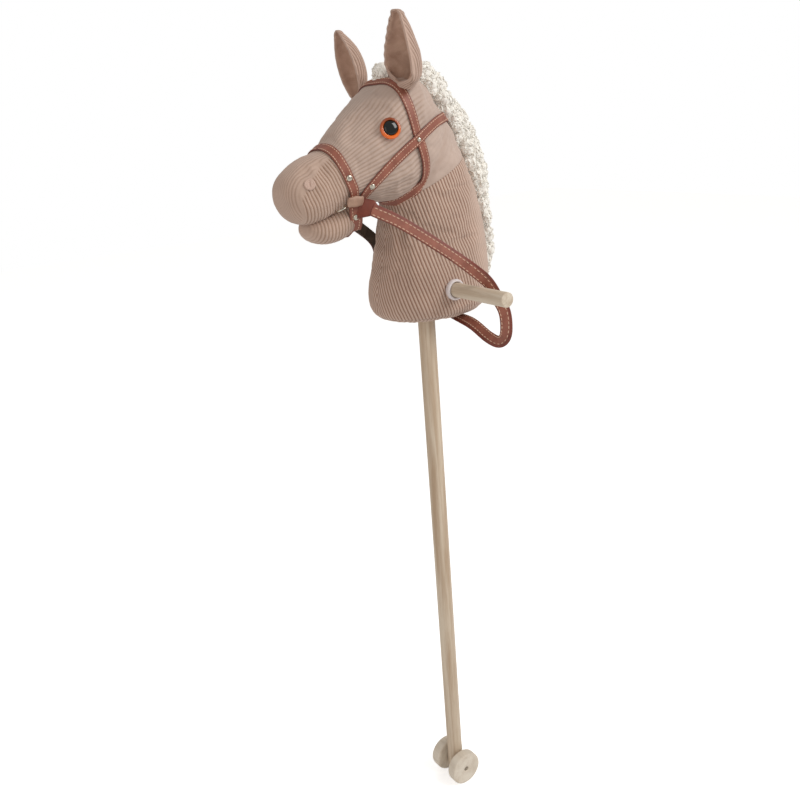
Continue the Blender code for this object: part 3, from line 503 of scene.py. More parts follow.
# Covers. Head, muzzle, neck, base and jaw are sewn from wide-ribbed corduroy and stuffed hard.
# The stuffed body is blown up between its seams and straps, then cut apart at the seams.
# Cross sections: x and z of one end, x and z of the other end, half the width, and fullness
neck_rows = [
    (-0.044, -0.0360, 0.053, -0.0360, 0.038, 2.1),
    (-0.058, -0.0330, 0.067, -0.0330, 0.050, 2.1),
    (-0.0645, -0.0250, 0.075, -0.0250, 0.056, 2.1),
    (-0.0665, -0.0110, 0.078, -0.0110, 0.058, 2.1),
    (-0.0645, 0.006, 0.079, 0.006, 0.058, 2.1),
    (-0.0585, 0.030, 0.078, 0.030, 0.056, 2.1),
    (-0.052, 0.060, 0.076, 0.060, 0.052, 2.1),
    (-0.046, 0.090, 0.071, 0.090, 0.048, 2.1),
    (-0.040, 0.125, 0.061, 0.125, 0.044, 2.1),
    (-0.038, 0.155, 0.047, 0.155, 0.040, 2.2),
    (-0.038, 0.185, 0.030, 0.185, 0.034, 2.3),
    (-0.034, 0.205, 0.012, 0.205, 0.024, 2.4),
]
head_rows = [
    (0.010, 0.207, 0.022, 0.175, 0.022, 2.6),
    (-0.012, 0.2265, 0.018, 0.140, 0.041, 3.0),
    (-0.039, 0.2240, -0.008, 0.112, 0.0475, 3.3),
    (-0.071, 0.2000, -0.038, 0.099, 0.048, 2.8),
    (-0.093, 0.1835, -0.060, 0.098, 0.045, 2.5),
    (-0.110, 0.167, -0.082, 0.099, 0.040, 2.4),
    (-0.124, 0.158, -0.098, 0.096, 0.037, 2.3),
    (-0.137, 0.153, -0.114, 0.091, 0.036, 2.3),
    (-0.153, 0.145, -0.132, 0.087, 0.036, 2.3),
    (-0.167, 0.134, -0.151, 0.086, 0.031, 2.3),
    (-0.172, 0.121, -0.164, 0.094, 0.019, 2.2),
]
jaw_rows = [
    (-0.090, 0.104, -0.087, 0.083, 0.014, 2.2),
    (-0.098, 0.108, -0.094, 0.074, 0.024, 2.2),
    (-0.110, 0.104, -0.107, 0.066, 0.028, 2.2),
    (-0.126, 0.098, -0.125, 0.063, 0.027, 2.2),
    (-0.138, 0.093, -0.140, 0.067, 0.023, 2.2),
    (-0.145, 0.089, -0.148, 0.075, 0.014, 2.2),
]
wale_pitch = 0.0038
wale_height = 0.00055
neck_seam = (Vector((0.056, 0, 0.143)), Vector((-0.421, 0, 0.907)))
muzzle_seam = (Vector((-0.1085, 0, 0.119)), Vector((0.975, 0, 0.224)))
base_seam = (Vector((0, 0, -0.030)), Vector((0, 0, 1)))


def section_points(row, turns):
    """Points round one cross section, from its first end round the left side and back."""
    one_x, one_z, two_x, two_z, half_width, fullness = row
    wave = np.stack([np.cos(turns), np.sin(turns)])
    wave = np.sign(wave) * np.abs(wave) ** (2 / fullness)
    x = (one_x + two_x) / 2 + (one_x - two_x) / 2 * wave[0]
    z = (one_z + two_z) / 2 + (one_z - two_z) / 2 * wave[0]
    return np.stack([x, half_width * wave[1], z], -1)


def face_outward(piece, grow=0.0):
    """Turn a mesh's faces outward, then swell or shrink it if asked for."""
    use_only(piece)
    bpy.ops.object.mode_set(mode="EDIT")
    bpy.ops.mesh.select_all(action="SELECT")
    bpy.ops.mesh.normals_make_consistent(inside=False)
    if grow:
        bpy.ops.transform.shrink_fatten(value=grow)
    bpy.ops.object.mode_set(mode="OBJECT")


def stuffed(name, rows, grow, steps=3, around=48):
    """A round form through its cross sections, shaped from a sphere, then swollen or shrunk."""
    rows = smooth_through(rows, steps)
    rings = len(rows) + 1
    bpy.ops.mesh.primitive_uv_sphere_add(segments=around, ring_count=rings, radius=1.0)
    piece = bpy.context.object
    piece.name = name
    for vert in piece.data.vertices:
        ring = round(math.acos(max(-1, min(1, vert.co.z))) * rings / math.pi)
        if 0 < ring < rings:
            turn = math.atan2(vert.co.y, vert.co.x)
            vert.co = Vector(section_points(rows[ring - 1], np.array([turn]))[0])
        else:
            row = rows[0] if ring == 0 else rows[-1]
            vert.co = ((row[0] + row[2]) / 2, 0, (row[1] + row[3]) / 2)
    face_outward(piece, grow)
    return piece


def per_point(piece, what="co"):
    """The places of a mesh's points as an array, or their normals."""
    flat = np.empty(len(piece.data.vertices) * 3)
    piece.data.vertices.foreach_get(what, flat)
    return flat.reshape(-1, 3)


def place_points(piece, points):
    """Move a mesh's points."""
    piece.data.vertices.foreach_set("co", points.astype(np.float32).ravel())
    piece.data.update()


def store(piece, name, values):
    """Keep a number with each point of a mesh, for its material to read."""
    attribute = piece.data.attributes.new(name, "FLOAT", "POINT")
    attribute.data.foreach_set("value", values.astype(np.float32))


def tree_of(piece):
    """A search tree of a mesh, for finding its surface."""
    return BVHTree.FromPolygons([vert.co.copy() for vert in piece.data.vertices],
                                [list(face.vertices) for face in piece.data.polygons])


head_alone = stuffed("head_alone", head_rows, 0.0)
head_tree = tree_of(head_alone)
bpy.data.objects.remove(head_alone)

# The jaw is a small cushion of its own, sewn on under the muzzle
jaw_cover = stuffed("jaw_cover", jaw_rows, 0.0)
apply_modifier(jaw_cover, "REMESH", mode="VOXEL", voxel_size=0.0030)
apply_modifier(jaw_cover, "SMOOTH", factor=0.5, iterations=3)
jaw_tree = tree_of(jaw_cover)

body = join(stuffed("body", head_rows, -0.0012), stuffed("neck_form", neck_rows, -0.0012))
apply_modifier(body, "REMESH", mode="VOXEL", voxel_size=0.0032)
apply_modifier(body, "SMOOTH", factor=0.5, iterations=4)

# The strips of cloth that straps press down and the places that are sewn don't swell. Each strap
# lies in the plane of three points; "crossing" is where three of them meet, on the left side.
strap_width = 0.0105
crossing = (-0.030, -0.048, 0.1615)
straps = {
    "noseband": ((-0.118, 0, 0.162), (-0.1095, -0.020, 0.125), (-0.1005, 0, 0.086)),
    "browband": ((-0.0442, 0, 0.2195), (-0.0393, -0.0395, 0.2077), (-0.0290, -0.048, 0.1645)),
    "throat_lash": ((-0.0290, -0.048, 0.1645), (-0.0200, -0.0425, 0.1280), (-0.046, 0, 0.093)),
    "cheek_strap": ((-0.112, -0.046, 0.1072), crossing, (0.023, -0.027, 0.181)),
}
eye_place = Vector((-0.0613, -0.04566, 0.1734))
eye_facing = Vector((-0.306, -0.914, 0.268))
nostril_place = Vector((-0.1510, -0.03141, 0.1280))
nostril_facing = Vector((-0.435, -0.839, 0.328))
ear_root = Vector((-0.0365, -0.032, 0.212))
bar_hole = Vector((0, -0.057, 0))


def strap_plane(name):
    """A point and the normal of the plane that a strap lies in, on the left side."""
    one, two, three = [Vector(p) for p in straps[name]]
    return two, (two - one).cross(three - one).normalized()


def noseband_bend(height):
    """How far back the noseband's sides bend from its plane, at heights given in metres."""
    return np.interp(height, (0.086, 0.092, 0.102, 0.112, 0.120, 0.130, 0.145),
                     (0.0010, 0.0024, 0.0045, 0.0050, 0.0036, 0.0017, 0.0))


def throat_lash_bend(height):
    """How far the lower throat lash turns forward from its plane, at heights given in metres."""
    return np.interp(height, (0.093, 0.0965, 0.103, 0.111, 0.121), (0.0, -0.0060, -0.0075, -0.0035, 0.0))


seam_reach = 0.0032


def held_down(points):
    """For each point, 1 where the cloth is sewn or strapped down, 0 where it is free to swell."""
    left = points.copy()
    left[:, 1] = -np.abs(left[:, 1])
    held = np.zeros(len(points))
    for place, normal in (neck_seam, muzzle_seam, base_seam):
        away = np.abs((left - np.array(place)) @ np.array(normal))
        held = np.maximum(held, np.clip(1.6 - away / seam_reach, 0, 1))
    for name in straps:
        place, normal = strap_plane(name)
        flat = left.copy()
        if name == "noseband":
            flat[:, 0] -= noseband_bend(flat[:, 2])
        if name == "throat_lash":
            flat[:, 0] -= throat_lash_bend(flat[:, 2])
        away = np.abs((flat - np.array(place)) @ np.array(normal))
        near = np.clip(1.5 - away / strap_width * 1.4, 0, 1)
        if name == "browband":
            near[left[:, 2] < crossing[2]] = 0
        if name == "throat_lash":
            near[(left[:, 2] > crossing[2]) | (left[:, 0] > -0.01)] = 0
        if name == "cheek_strap":
            near[left[:, 0] < -0.104] = 0
        held = np.maximum(held, near)
    for place, reach in ((eye_place, 0.012), (nostril_place, 0.006), (ear_root, 0.026),
                         (bar_hole, 0.016)):
        away = np.linalg.norm(left - np.array(place), axis=1)
        held = np.maximum(held, np.clip(2 * (1 - away / reach), 0, 1))
    return held


def swell(piece, held, pressure, cap):
    """Blow the stuffed cloth up where it isn't held down, and let it move no further than the cap."""
    start = per_point(piece)
    group = piece.vertex_groups.new(name="held")
    for i, weight in enumerate(held):
        if weight > 0.01:
            group.add([i], float(weight), "REPLACE")
    use_only(piece)
    cloth = piece.modifiers.new("cloth", "CLOTH")
    cloth.settings.quality = 5
    cloth.settings.mass = 0.3
    cloth.settings.tension_stiffness = 12
    cloth.settings.compression_stiffness = 12
    cloth.settings.bending_stiffness = 0.4
    cloth.settings.air_damping = 4
    cloth.settings.vertex_group_mass = "held"
    cloth.settings.pin_stiffness = 1
    cloth.settings.use_pressure = True
    cloth.settings.uniform_pressure_force = pressure
    cloth.settings.shrink_min = -0.03
    cloth.settings.effector_weights.gravity = 0
    scene = bpy.context.scene
    for step in range(1, 17):
        scene.frame_set(step)
    bpy.ops.object.modifier_apply(modifier=cloth.name)
    scene.frame_set(1)
    moved = per_point(piece) - start
    far = np.linalg.norm(moved, axis=1, keepdims=True)
    place_points(piece, start + moved * np.minimum(1, cap / np.maximum(far, 1e-9)))
    piece.vertex_groups.clear()


swell(body, held_down(per_point(body)), pressure=3.0, cap=0.0030)
apply_modifier(body, "SMOOTH", factor=0.4, iterations=2)
body_tree = tree_of(body)


def table_of(rows):
    """For a form's sections: their rows, and the way round each as metres from its first end."""
    rows = smooth_through(rows, 4)
    turns = np.linspace(0, math.pi, 96)
    lengths = []
    for row in rows:
        points = section_points(row, turns)
        lengths.append(np.concatenate([[0], np.cumsum(np.linalg.norm(np.diff(points, axis=0), axis=1))]))
    return np.array(rows), np.array(lengths)


def way_round(points, table):
    """How far round its section each point lies, as metres from the first end and as a share of
    the half ring, and which row of sections it lies in."""
    rows, lengths = table
    one, two = rows[:, [0, 1]], rows[:, [2, 3]]
    spots = points[:, [0, 2]]
    run = two - one
    gap = spots[:, None] - one[None]
    sides = gap[:, :, 0] * run[None, :, 1] - gap[:, :, 1] * run[None, :, 0]
    change = sides[:, :-1] * sides[:, 1:] <= 0
    nearer_end = np.where(np.abs(sides[:, 0]) < np.abs(sides[:, -1]), 0, len(rows) - 2)
    row = np.where(change.any(1), change.argmax(1), nearer_end)
    pick = np.arange(len(points))
    before, after = sides[pick, row], sides[pick, row + 1]
    t = np.clip(before / np.where(np.abs(before - after) < 1e-15, 1, before - after), 0, 1)
    a = one[row] + (one[row + 1] - one[row]) * t[:, None]
    b = two[row] + (two[row + 1] - two[row]) * t[:, None]
    half_width = rows[row, 4] + (rows[row + 1, 4] - rows[row, 4]) * t
    full = rows[row, 5] + (rows[row + 1, 5] - rows[row, 5]) * t
    span = b - a
    share = ((spots - a) * span).sum(1) / (span ** 2).sum(1)
    height = np.clip(1 - 2 * share, -1.2, 1.2)
    width = np.abs(points[:, 1]) / half_width
    turn = np.arctan2(np.abs(width) ** (full / 2), np.sign(height) * np.abs(height) ** (full / 2))
    column = turn / math.pi * (lengths.shape[1] - 1)
    low = np.clip(np.floor(column).astype(int), 0, lengths.shape[1] - 2)
    part = column - low

    def read(r):
        return lengths[r, low] * (1 - part) + lengths[r, low + 1] * part

    metres = read(row) * (1 - t) + read(row + 1) * t
    whole = lengths[row, -1] * (1 - t) + lengths[row + 1, -1] * t
    return metres, metres / whole, row + t


head_table = table_of(head_rows)
neck_table = table_of(neck_rows)
jaw_table = table_of(jaw_rows)


def along_side(table):
    """How far along the form's side each of its sections lies, in metres."""
    rows = table[0]
    sides = np.stack([(rows[:, 0] + rows[:, 2]) / 2, rows[:, 4], (rows[:, 1] + rows[:, 3]) / 2], -1)
    return np.concatenate([[0], np.cumsum(np.linalg.norm(np.diff(sides, axis=0), axis=1))])


def faded(normals, across):
    """Wales show full on cloth that faces away from their spacing, and fade where it faces along it."""
    facing = np.abs(normals @ np.array(across))
    return np.clip((0.93 - facing) / 0.35, 0, 1)


def head_wales(points, normals):
    """On the head the wales run from poll to nose, so they gather towards the muzzle."""
    share = way_round(points, head_table)[1]
    crown = np.clip((points[:, 2] - 0.195) / 0.02, 0, 0.55)
    behind = np.clip((points[:, 0] + 0.022) / 0.012, 0, 0.55)
    return share * 35.0, np.clip(0.5 - 0.7 * np.maximum(crown, behind), 0.08, 1)


def neck_wales(points, normals):
    """On the neck the wales run down and back, in line with the crest."""
    metres, _, row = way_round(points, neck_table)
    front = np.interp(row, range(len(neck_table[0])), neck_table[0][:, 0])
    behind = np.clip((points[:, 0] - 0.030) / 0.035, 0, 0.6)
    return (0.954 * (metres + front) + 0.30 * points[:, 2]) / wale_pitch, 0.9 - behind


nose_wale_pitch = 0.0033
nose_seam = [(-0.105, 0.1615), (-0.1288, 0.1474), (-0.1524, 0.1295), (-0.1617, 0.1132), (-0.1585, 0.100),
             (-0.1522, 0.084)]


def muzzle_side(points):
    """How far behind the seam of the nose strip a point of the muzzle lies, in metres."""
    spots = points[:, [0, 2]]
    nearest = np.full(len(points), 1.0)
    behind = np.zeros(len(points))
    for start, end in zip(np.array(nose_seam), np.array(nose_seam[1:])):
        run = end - start
        gap = spots - start
        gap = gap - np.clip(gap @ run / (run @ run), 0, 1)[:, None] * run
        away = np.linalg.norm(gap, axis=1)
        signed = np.where(run[0] * gap[:, 1] - run[1] * gap[:, 0] > 0, away, -away)
        behind = np.where(away < nearest, signed, behind)
        nearest = np.minimum(away, nearest)
    return behind


def muzzle_wales(points, normals):
    """The nose strip's wales run along it; the sides' wales run down and back."""
    row = way_round(points, head_table)[2]
    behind_seam = muzzle_side(points)
    nose_strip = behind_seam < 0
    sections = along_side(head_table)
    side_wales = np.interp(row, range(len(sections)), sections) / wale_pitch * 1.1
    strength = np.where(nose_strip, 0.42 * faded(normals, (0, 1, 0)), 0.78)
    strength = strength * np.clip(np.abs(behind_seam) / 0.002, 0.3, 1)
    return np.where(nose_strip, points[:, 1] / nose_wale_pitch, side_wales), strength


def jaw_wales(points, normals):
    """On the jaw the wales run down and back, like the muzzle's."""
    row = way_round(points, jaw_table)[2]
    sections = along_side(jaw_table)
    low = np.clip((points[:, 0] + 0.149) / 0.012, 0, 1)
    return np.interp(row, range(len(sections)), sections) / wale_pitch, 0.72 * low


def base_wales(points, normals):
    """Under the neck the wales run straight from side to side."""
    return points[:, 0] / wale_pitch, faded(normals, (1, 0, 0))


def corduroy(name, raised, groove):
    """Wide-ribbed corduroy: each wale a soft cord of pile with a groove beside it."""
    material, tree, shader = new_material(name, 0.92)
    spot = add_node(tree, "TexCoord").outputs["Object"]
    # The colour runs from the groove colour in the channels to the raised colour on the cords. The
    # darker channel is partly the bare ground weave and partly painted shade in the recess between
    # cords.
    wave = calc(tree, "COSINE", calc(tree, "MULTIPLY", stored(tree, "wale"), 2 * math.pi))
    full = add_node(tree, "MapRange", {"Value": wave, "From Min": -1.0, "From Max": 0.6}).outputs[0]
    cord = add_node(tree, "Mix", {"Factor": stored(tree, "strength"), "A": 0.8, "B": full}).outputs[0]
    pile = noise(tree, spot, 1300.0, 3.0)
    lift = calc(tree, "ADD", cord, calc(tree, "MULTIPLY_ADD", pile, 0.35, -0.175), use_clamp=True)
    shade = add_node(tree, "MapRange", {"Value": noise(tree, spot, 38.0, 4.0), "From Min": 0.3,
                                        "From Max": 0.7, "To Min": 0.93, "To Max": 1.04}).outputs[0]
    # Painted shade: the stored "seam" share darkens the cloth beside the seams by up to twelve percent.
    seam_shaded = calc(tree, "MULTIPLY_ADD", stored(tree, "seam"), -0.12, shade)
    toned = add_node(tree, "HueSaturation", {"Color": ramp(tree, lift, groove, raised, 0.05, 0.8),
                                             "Value": seam_shaded})
    tree.links.new(toned.outputs[0], shader.inputs["Base Color"])
    bump(tree, shader, calc(tree, "MULTIPLY_ADD", pile, 0.25, cord), 0.5, 0.0006)
    shader.inputs["Sheen Weight"].default_value = 0.18
    shader.inputs["Sheen Roughness"].default_value = 0.6
    return material


head_corduroy = corduroy("head_corduroy", paint(190, 168, 155), paint(156, 128, 108))
neck_corduroy = corduroy("neck_corduroy", paint(196, 170, 154), paint(138, 100, 80))
muzzle_corduroy = corduroy("muzzle_corduroy", paint(190, 164, 148), paint(142, 108, 86))


# At a seam: how near the cut a point is on it, how far apart the two cut edges are, how far off the
# wales begin, how far off painted shade darkens the cloth, and how wide and deep it is sunk
cut_edge = 0.0003
cut_gap = 0.00002
seam_flat = 0.0022
seam_shade_reach = 0.0013
seam_spread = 0.0012
seam_sink = 0.0004


def rib(piece, wales, seams):
    """Raise a cover's wales, sink the cloth beside its seams, and store painted seam shade that darkens
    it there.
    """
    points = per_point(piece)
    normals = per_point(piece, "normal")
    phase, strength = wales(points, normals)
    near = np.zeros(len(points))
    sunk = np.zeros(len(points))
    flat = np.ones(len(points))
    for place, normal in seams:
        away = np.abs((points - np.array(place)) @ np.array(normal))
        flat = np.minimum(flat, np.clip(away / seam_flat, 0, 1))
        edge = away < cut_edge
        normals[edge] -= np.outer(normals[edge] @ np.array(normal), np.array(normal))
        normals[edge] /= np.linalg.norm(normals[edge], axis=1, keepdims=True) + 1e-9
        # near: how strongly painted shade darkens the cloth beside this seam, stored as "seam"
        near = np.maximum(near, np.clip(1 - away / seam_shade_reach, 0, 1))
        sunk = np.maximum(sunk, np.exp(-(away / seam_spread) ** 2) * seam_sink)
    height = wale_height * strength * flat * (0.5 * np.cos(2 * math.pi * phase) - 0.1)
    place_points(piece, points + normals * (height - sunk)[:, None])
    for name, values in (("wale", phase), ("strength", strength), ("seam", near)):
        store(piece, name, values)
    piece.data.shade_smooth()
    for face in piece.data.polygons:
        if any(abs((face.center - place).dot(normal)) < cut_edge and abs(face.normal.dot(normal)) > 0.98
               for place, normal in seams):
            face.use_smooth = False


def panel(source, name, cuts, material, wales, stands_for):
    """One sewn piece of the body: what is left of it when it is cut at its seams."""
    piece = source.copy()
    piece.data = source.data.copy()
    piece.name = name
    bpy.context.scene.collection.objects.link(piece)
    use_only(piece)
    for (place, normal), keep in cuts:
        bpy.ops.object.mode_set(mode="EDIT")
        bpy.ops.mesh.select_all(action="SELECT")
        bpy.ops.mesh.bisect(plane_co=place + normal * cut_gap * keep, plane_no=normal * keep,
                            use_fill=True, clear_inner=True)
        bpy.ops.object.mode_set(mode="OBJECT")
    rib(piece, wales, [cut[0] for cut in cuts])
    piece.data.materials.clear()
    piece.data.materials.append(material)
    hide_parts(*stands_for)
    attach(piece, "horse")


apply_modifier(body, "SUBSURF", levels=2, render_levels=2)
panel(body, "neck_cover", [(neck_seam, -1), (base_seam, 1)], neck_corduroy, neck_wales,
      ["neck_cover", "stuffing"])
panel(body, "base_panel", [(base_seam, -1)], neck_corduroy, base_wales, ["base_panel"])
panel(body, "head_cover", [(neck_seam, 1), (muzzle_seam, 1)], head_corduroy, head_wales,
      ["head_cover"])
panel(body, "muzzle_cover", [(neck_seam, 1), (muzzle_seam, -1)], muzzle_corduroy, muzzle_wales,
      ["muzzle_cover"])
bpy.data.objects.remove(body)

apply_modifier(jaw_cover, "SUBSURF", levels=2, render_levels=2)
rib(jaw_cover, jaw_wales, [])
jaw_cover.data.materials.append(muzzle_corduroy)
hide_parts("jaw_cover", "jaw_stuffing")
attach(jaw_cover, "horse")


# Collars. Moulded flanged bushings of milky plastic that line the holes where the bar comes out.
collar_plastic = mottled("milky_plastic", 0.32, paint(208, 198, 200), paint(226, 218, 218), 60.0, 1.0,
                         sockets={"Coat Weight": 0.3})
for side, sign in both_sides:
    low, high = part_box("handle_collar_" + side)
    inner, outer = sorted((abs(low.y), abs(high.y)))
    turn = Matrix.Rotation(math.radians(-90 * sign), 4, "X")
    collar_profile = rounded([(0.0100, inner), (0.0100, outer - 0.0055), (0.0116, outer - 0.0055),
                              (0.0119, outer - 0.0018), (0.0106, outer + 0.0004), (0.0086, outer),
                              (0.0083, outer - 0.003), (0.0083, inner)], 0.0012)
    collar = lathe("handle_collar_" + side, collar_profile, 72, turn, collar_plastic, 60)
    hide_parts("handle_collar_" + side)
    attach(collar, "horse")


# Eyes. Plastic safety eyes: a glossy amber ring on a stem round a domed black pupil, pushed
# through the cheek and held by a washer inside.
amber, amber_tree, amber_shader = new_material("amber_plastic", 0.18)
amber_spot = add_node(amber_tree, "TexCoord").outputs["Object"]
streak = noise(amber_tree, amber_spot, 160.0)
# Painted light: the ring is shaded darker towards its top and lit brighter towards its bottom, with
# random streaks over it.
amber_height = add_node(amber_tree, "SeparateXYZ", {"Vector": amber_spot}).outputs["Z"]
amber_painted_top_shade = add_node(amber_tree, "MapRange", {"Value": amber_height, "From Min": eye_place.z - 0.010,
                                               "From Max": eye_place.z + 0.010, "To Max": 0.85})
amber_streaks_and_painted_shade = calc(amber_tree, "MULTIPLY_ADD", streak, 0.25, amber_painted_top_shade.outputs[0])
amber_colour = ramp(amber_tree, amber_streaks_and_painted_shade, paint(246, 112, 12), paint(138, 60, 16), 0.15, 0.95)
amber_tree.links.new(amber_colour, amber_shader.inputs["Base Color"])
amber_shader.inputs["Coat Weight"].default_value = 0.6
black = mottled("black_plastic", 0.08, paint(8, 10, 9), paint(18, 21, 20), 90.0)
washer_plastic = mottled("washer_plastic", 0.5, paint(226, 226, 222), paint(240, 240, 238), 200.0)


def seat(place, facing, sign):
    """A placement on the surface, Z outward, mirrored to the right side if asked for."""
    place = Vector((place.x, -sign * place.y, place.z))
    facing = Vector((facing.x, -sign * facing.y, facing.z)).normalized()
    across = Vector((0, 0, 1)).cross(facing).normalized()
    made = Matrix((across, facing.cross(across), facing)).transposed().to_4x4()
    made.translation = place
    return made


for side, sign in both_sides:
    place = seat(eye_place, eye_facing, sign)
    cup_profile = rounded([(0.0025, -0.012), (0.0025, -0.0004), (0.0098, 0.0), (0.0110, 0.0012),
                           (0.0106, 0.0030), (0.0094, 0.0041), (0.0082, 0.0041), (0.0076, 0.0034),
                           (0.0074, 0.0017), (0.0, 0.0017)], 0.0009)
    eye = lathe("eye_" + side, cup_profile, 72, place, amber, 50)
    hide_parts("eye_" + side)
    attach(eye, "horse")
    dome = [(0.0071, 0.0020)] + [(0.0072 * math.cos(a), 0.0036 + 0.0024 * math.sin(a))
                                 for a in np.linspace(0, math.pi / 2, 12)]
    pupil = lathe("pupil_" + side, dome, 72, place, black, 60)
    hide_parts("pupil_" + side)
    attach(pupil, "horse")
    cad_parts["eye_washer_" + side].data.materials.clear()
    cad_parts["eye_washer_" + side].data.materials.append(washer_plastic)


# Nostrils. Small round patches of the same cloth, sewn on with a slit pulled in at the middle.
felt = mottled("nostril_cloth", 0.9, paint(176, 146, 132), paint(216, 190, 176), 900.0, 4.0,
               (0.5, 0.0004))
for side, sign in both_sides:
    place = seat(nostril_place, nostril_facing, sign)
    patch_profile = [(0.0056, -0.0014), (0.0058, -0.0002), (0.0055, 0.0008), (0.0047, 0.0013),
                     (0.0036, 0.0009), (0.0024, 0.0012), (0.0012, 0.0011), (0.0, 0.0010)]
    nostril = lathe("nostril_" + side, rounded(patch_profile, 0.0008, 3), 48, place, felt, 80)
    back = place.inverted()
    for vert in nostril.data.vertices:
        spot = back @ vert.co
        slit = math.exp(-(spot.x / 0.0008) ** 2) * max(0.0, 1 - (spot.y / 0.0040) ** 2)
        spot.z -= 0.0011 * slit
        vert.co = place @ spot
    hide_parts("nostril_" + side)
    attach(nostril, "horse")


# Ears. A leaf of corduroy rolled round a smooth plush lining and sewn on top of the head, its
# edges turned in all round and brought together in front at the root.
ear_turn_out = math.radians(4)
ear_wrap = math.radians(95)
ear_rim = 0.0010
ear_pucker = 0.0090
ear_wale_height = 0.00034
ear_fold = 0.0080
ear_lip_low = 0.0060
ear_lip_high = 0.0140
# Each ear: its side, the middle of its root and its tip as on the right side, half its width, and
# its outline as height and width shares. The right one sits a little lower and further out.
ears = {
    "left": (-1, (-0.0372, 0.0357, 0.2133), (-0.0524, 0.0580, 0.2820), 0.0222,
             [(0, 0.66), (0.05, 0.76), (0.10, 0.88), (0.15, 0.97), (0.21, 1.0), (0.31, 1.0),
              (0.44, 0.95), (0.56, 0.83), (0.68, 0.70), (0.81, 0.54), (0.90, 0.39), (1.0, 0.2)]),
    "right": (1, (-0.0366, 0.0491, 0.2005), (-0.0505, 0.0605, 0.2765), 0.0190,
              [(0, 0.62), (0.12, 0.66), (0.22, 0.80), (0.33, 0.95), (0.46, 1.0), (0.58, 0.97),
               (0.70, 0.86), (0.81, 0.66), (0.90, 0.45), (1.0, 0.2)]),
}
plush, plush_tree, plush_shader = new_material("brown_plush", 0.85)
plush_spot = add_node(plush_tree, "TexCoord").outputs["Object"]
nap = noise(plush_tree, plush_spot, 1500.0, 3.0)
brushed = noise(plush_tree, plush_spot, 55.0, 3.0, 0.8)
nap_mix = calc(plush_tree, "MULTIPLY_ADD", nap, 0.3, brushed)
# Painted light and shade on the lining: the stored fold share darkens the pile in the hollows beside the
# fold and lightens the fold's ridge.
painted_fold_tone = calc(plush_tree, "MULTIPLY_ADD", stored(plush_tree, "painted_fold_shading"), -0.30, 1.0)
plush_tone = add_node(plush_tree, "HueSaturation", {
    "Color": ramp(plush_tree, nap_mix, paint(160, 126, 108), paint(204, 172, 152), 0.4, 0.9),
    "Value": painted_fold_tone})
plush_tree.links.new(plush_tone.outputs[0], plush_shader.inputs["Base Color"])
bump(plush_tree, plush_shader, nap, 0.3, 0.0003)
plush_shader.inputs["Sheen Weight"].default_value = 0.25
ear_corduroy = corduroy("ear_corduroy", paint(192, 164, 148), paint(140, 108, 90))


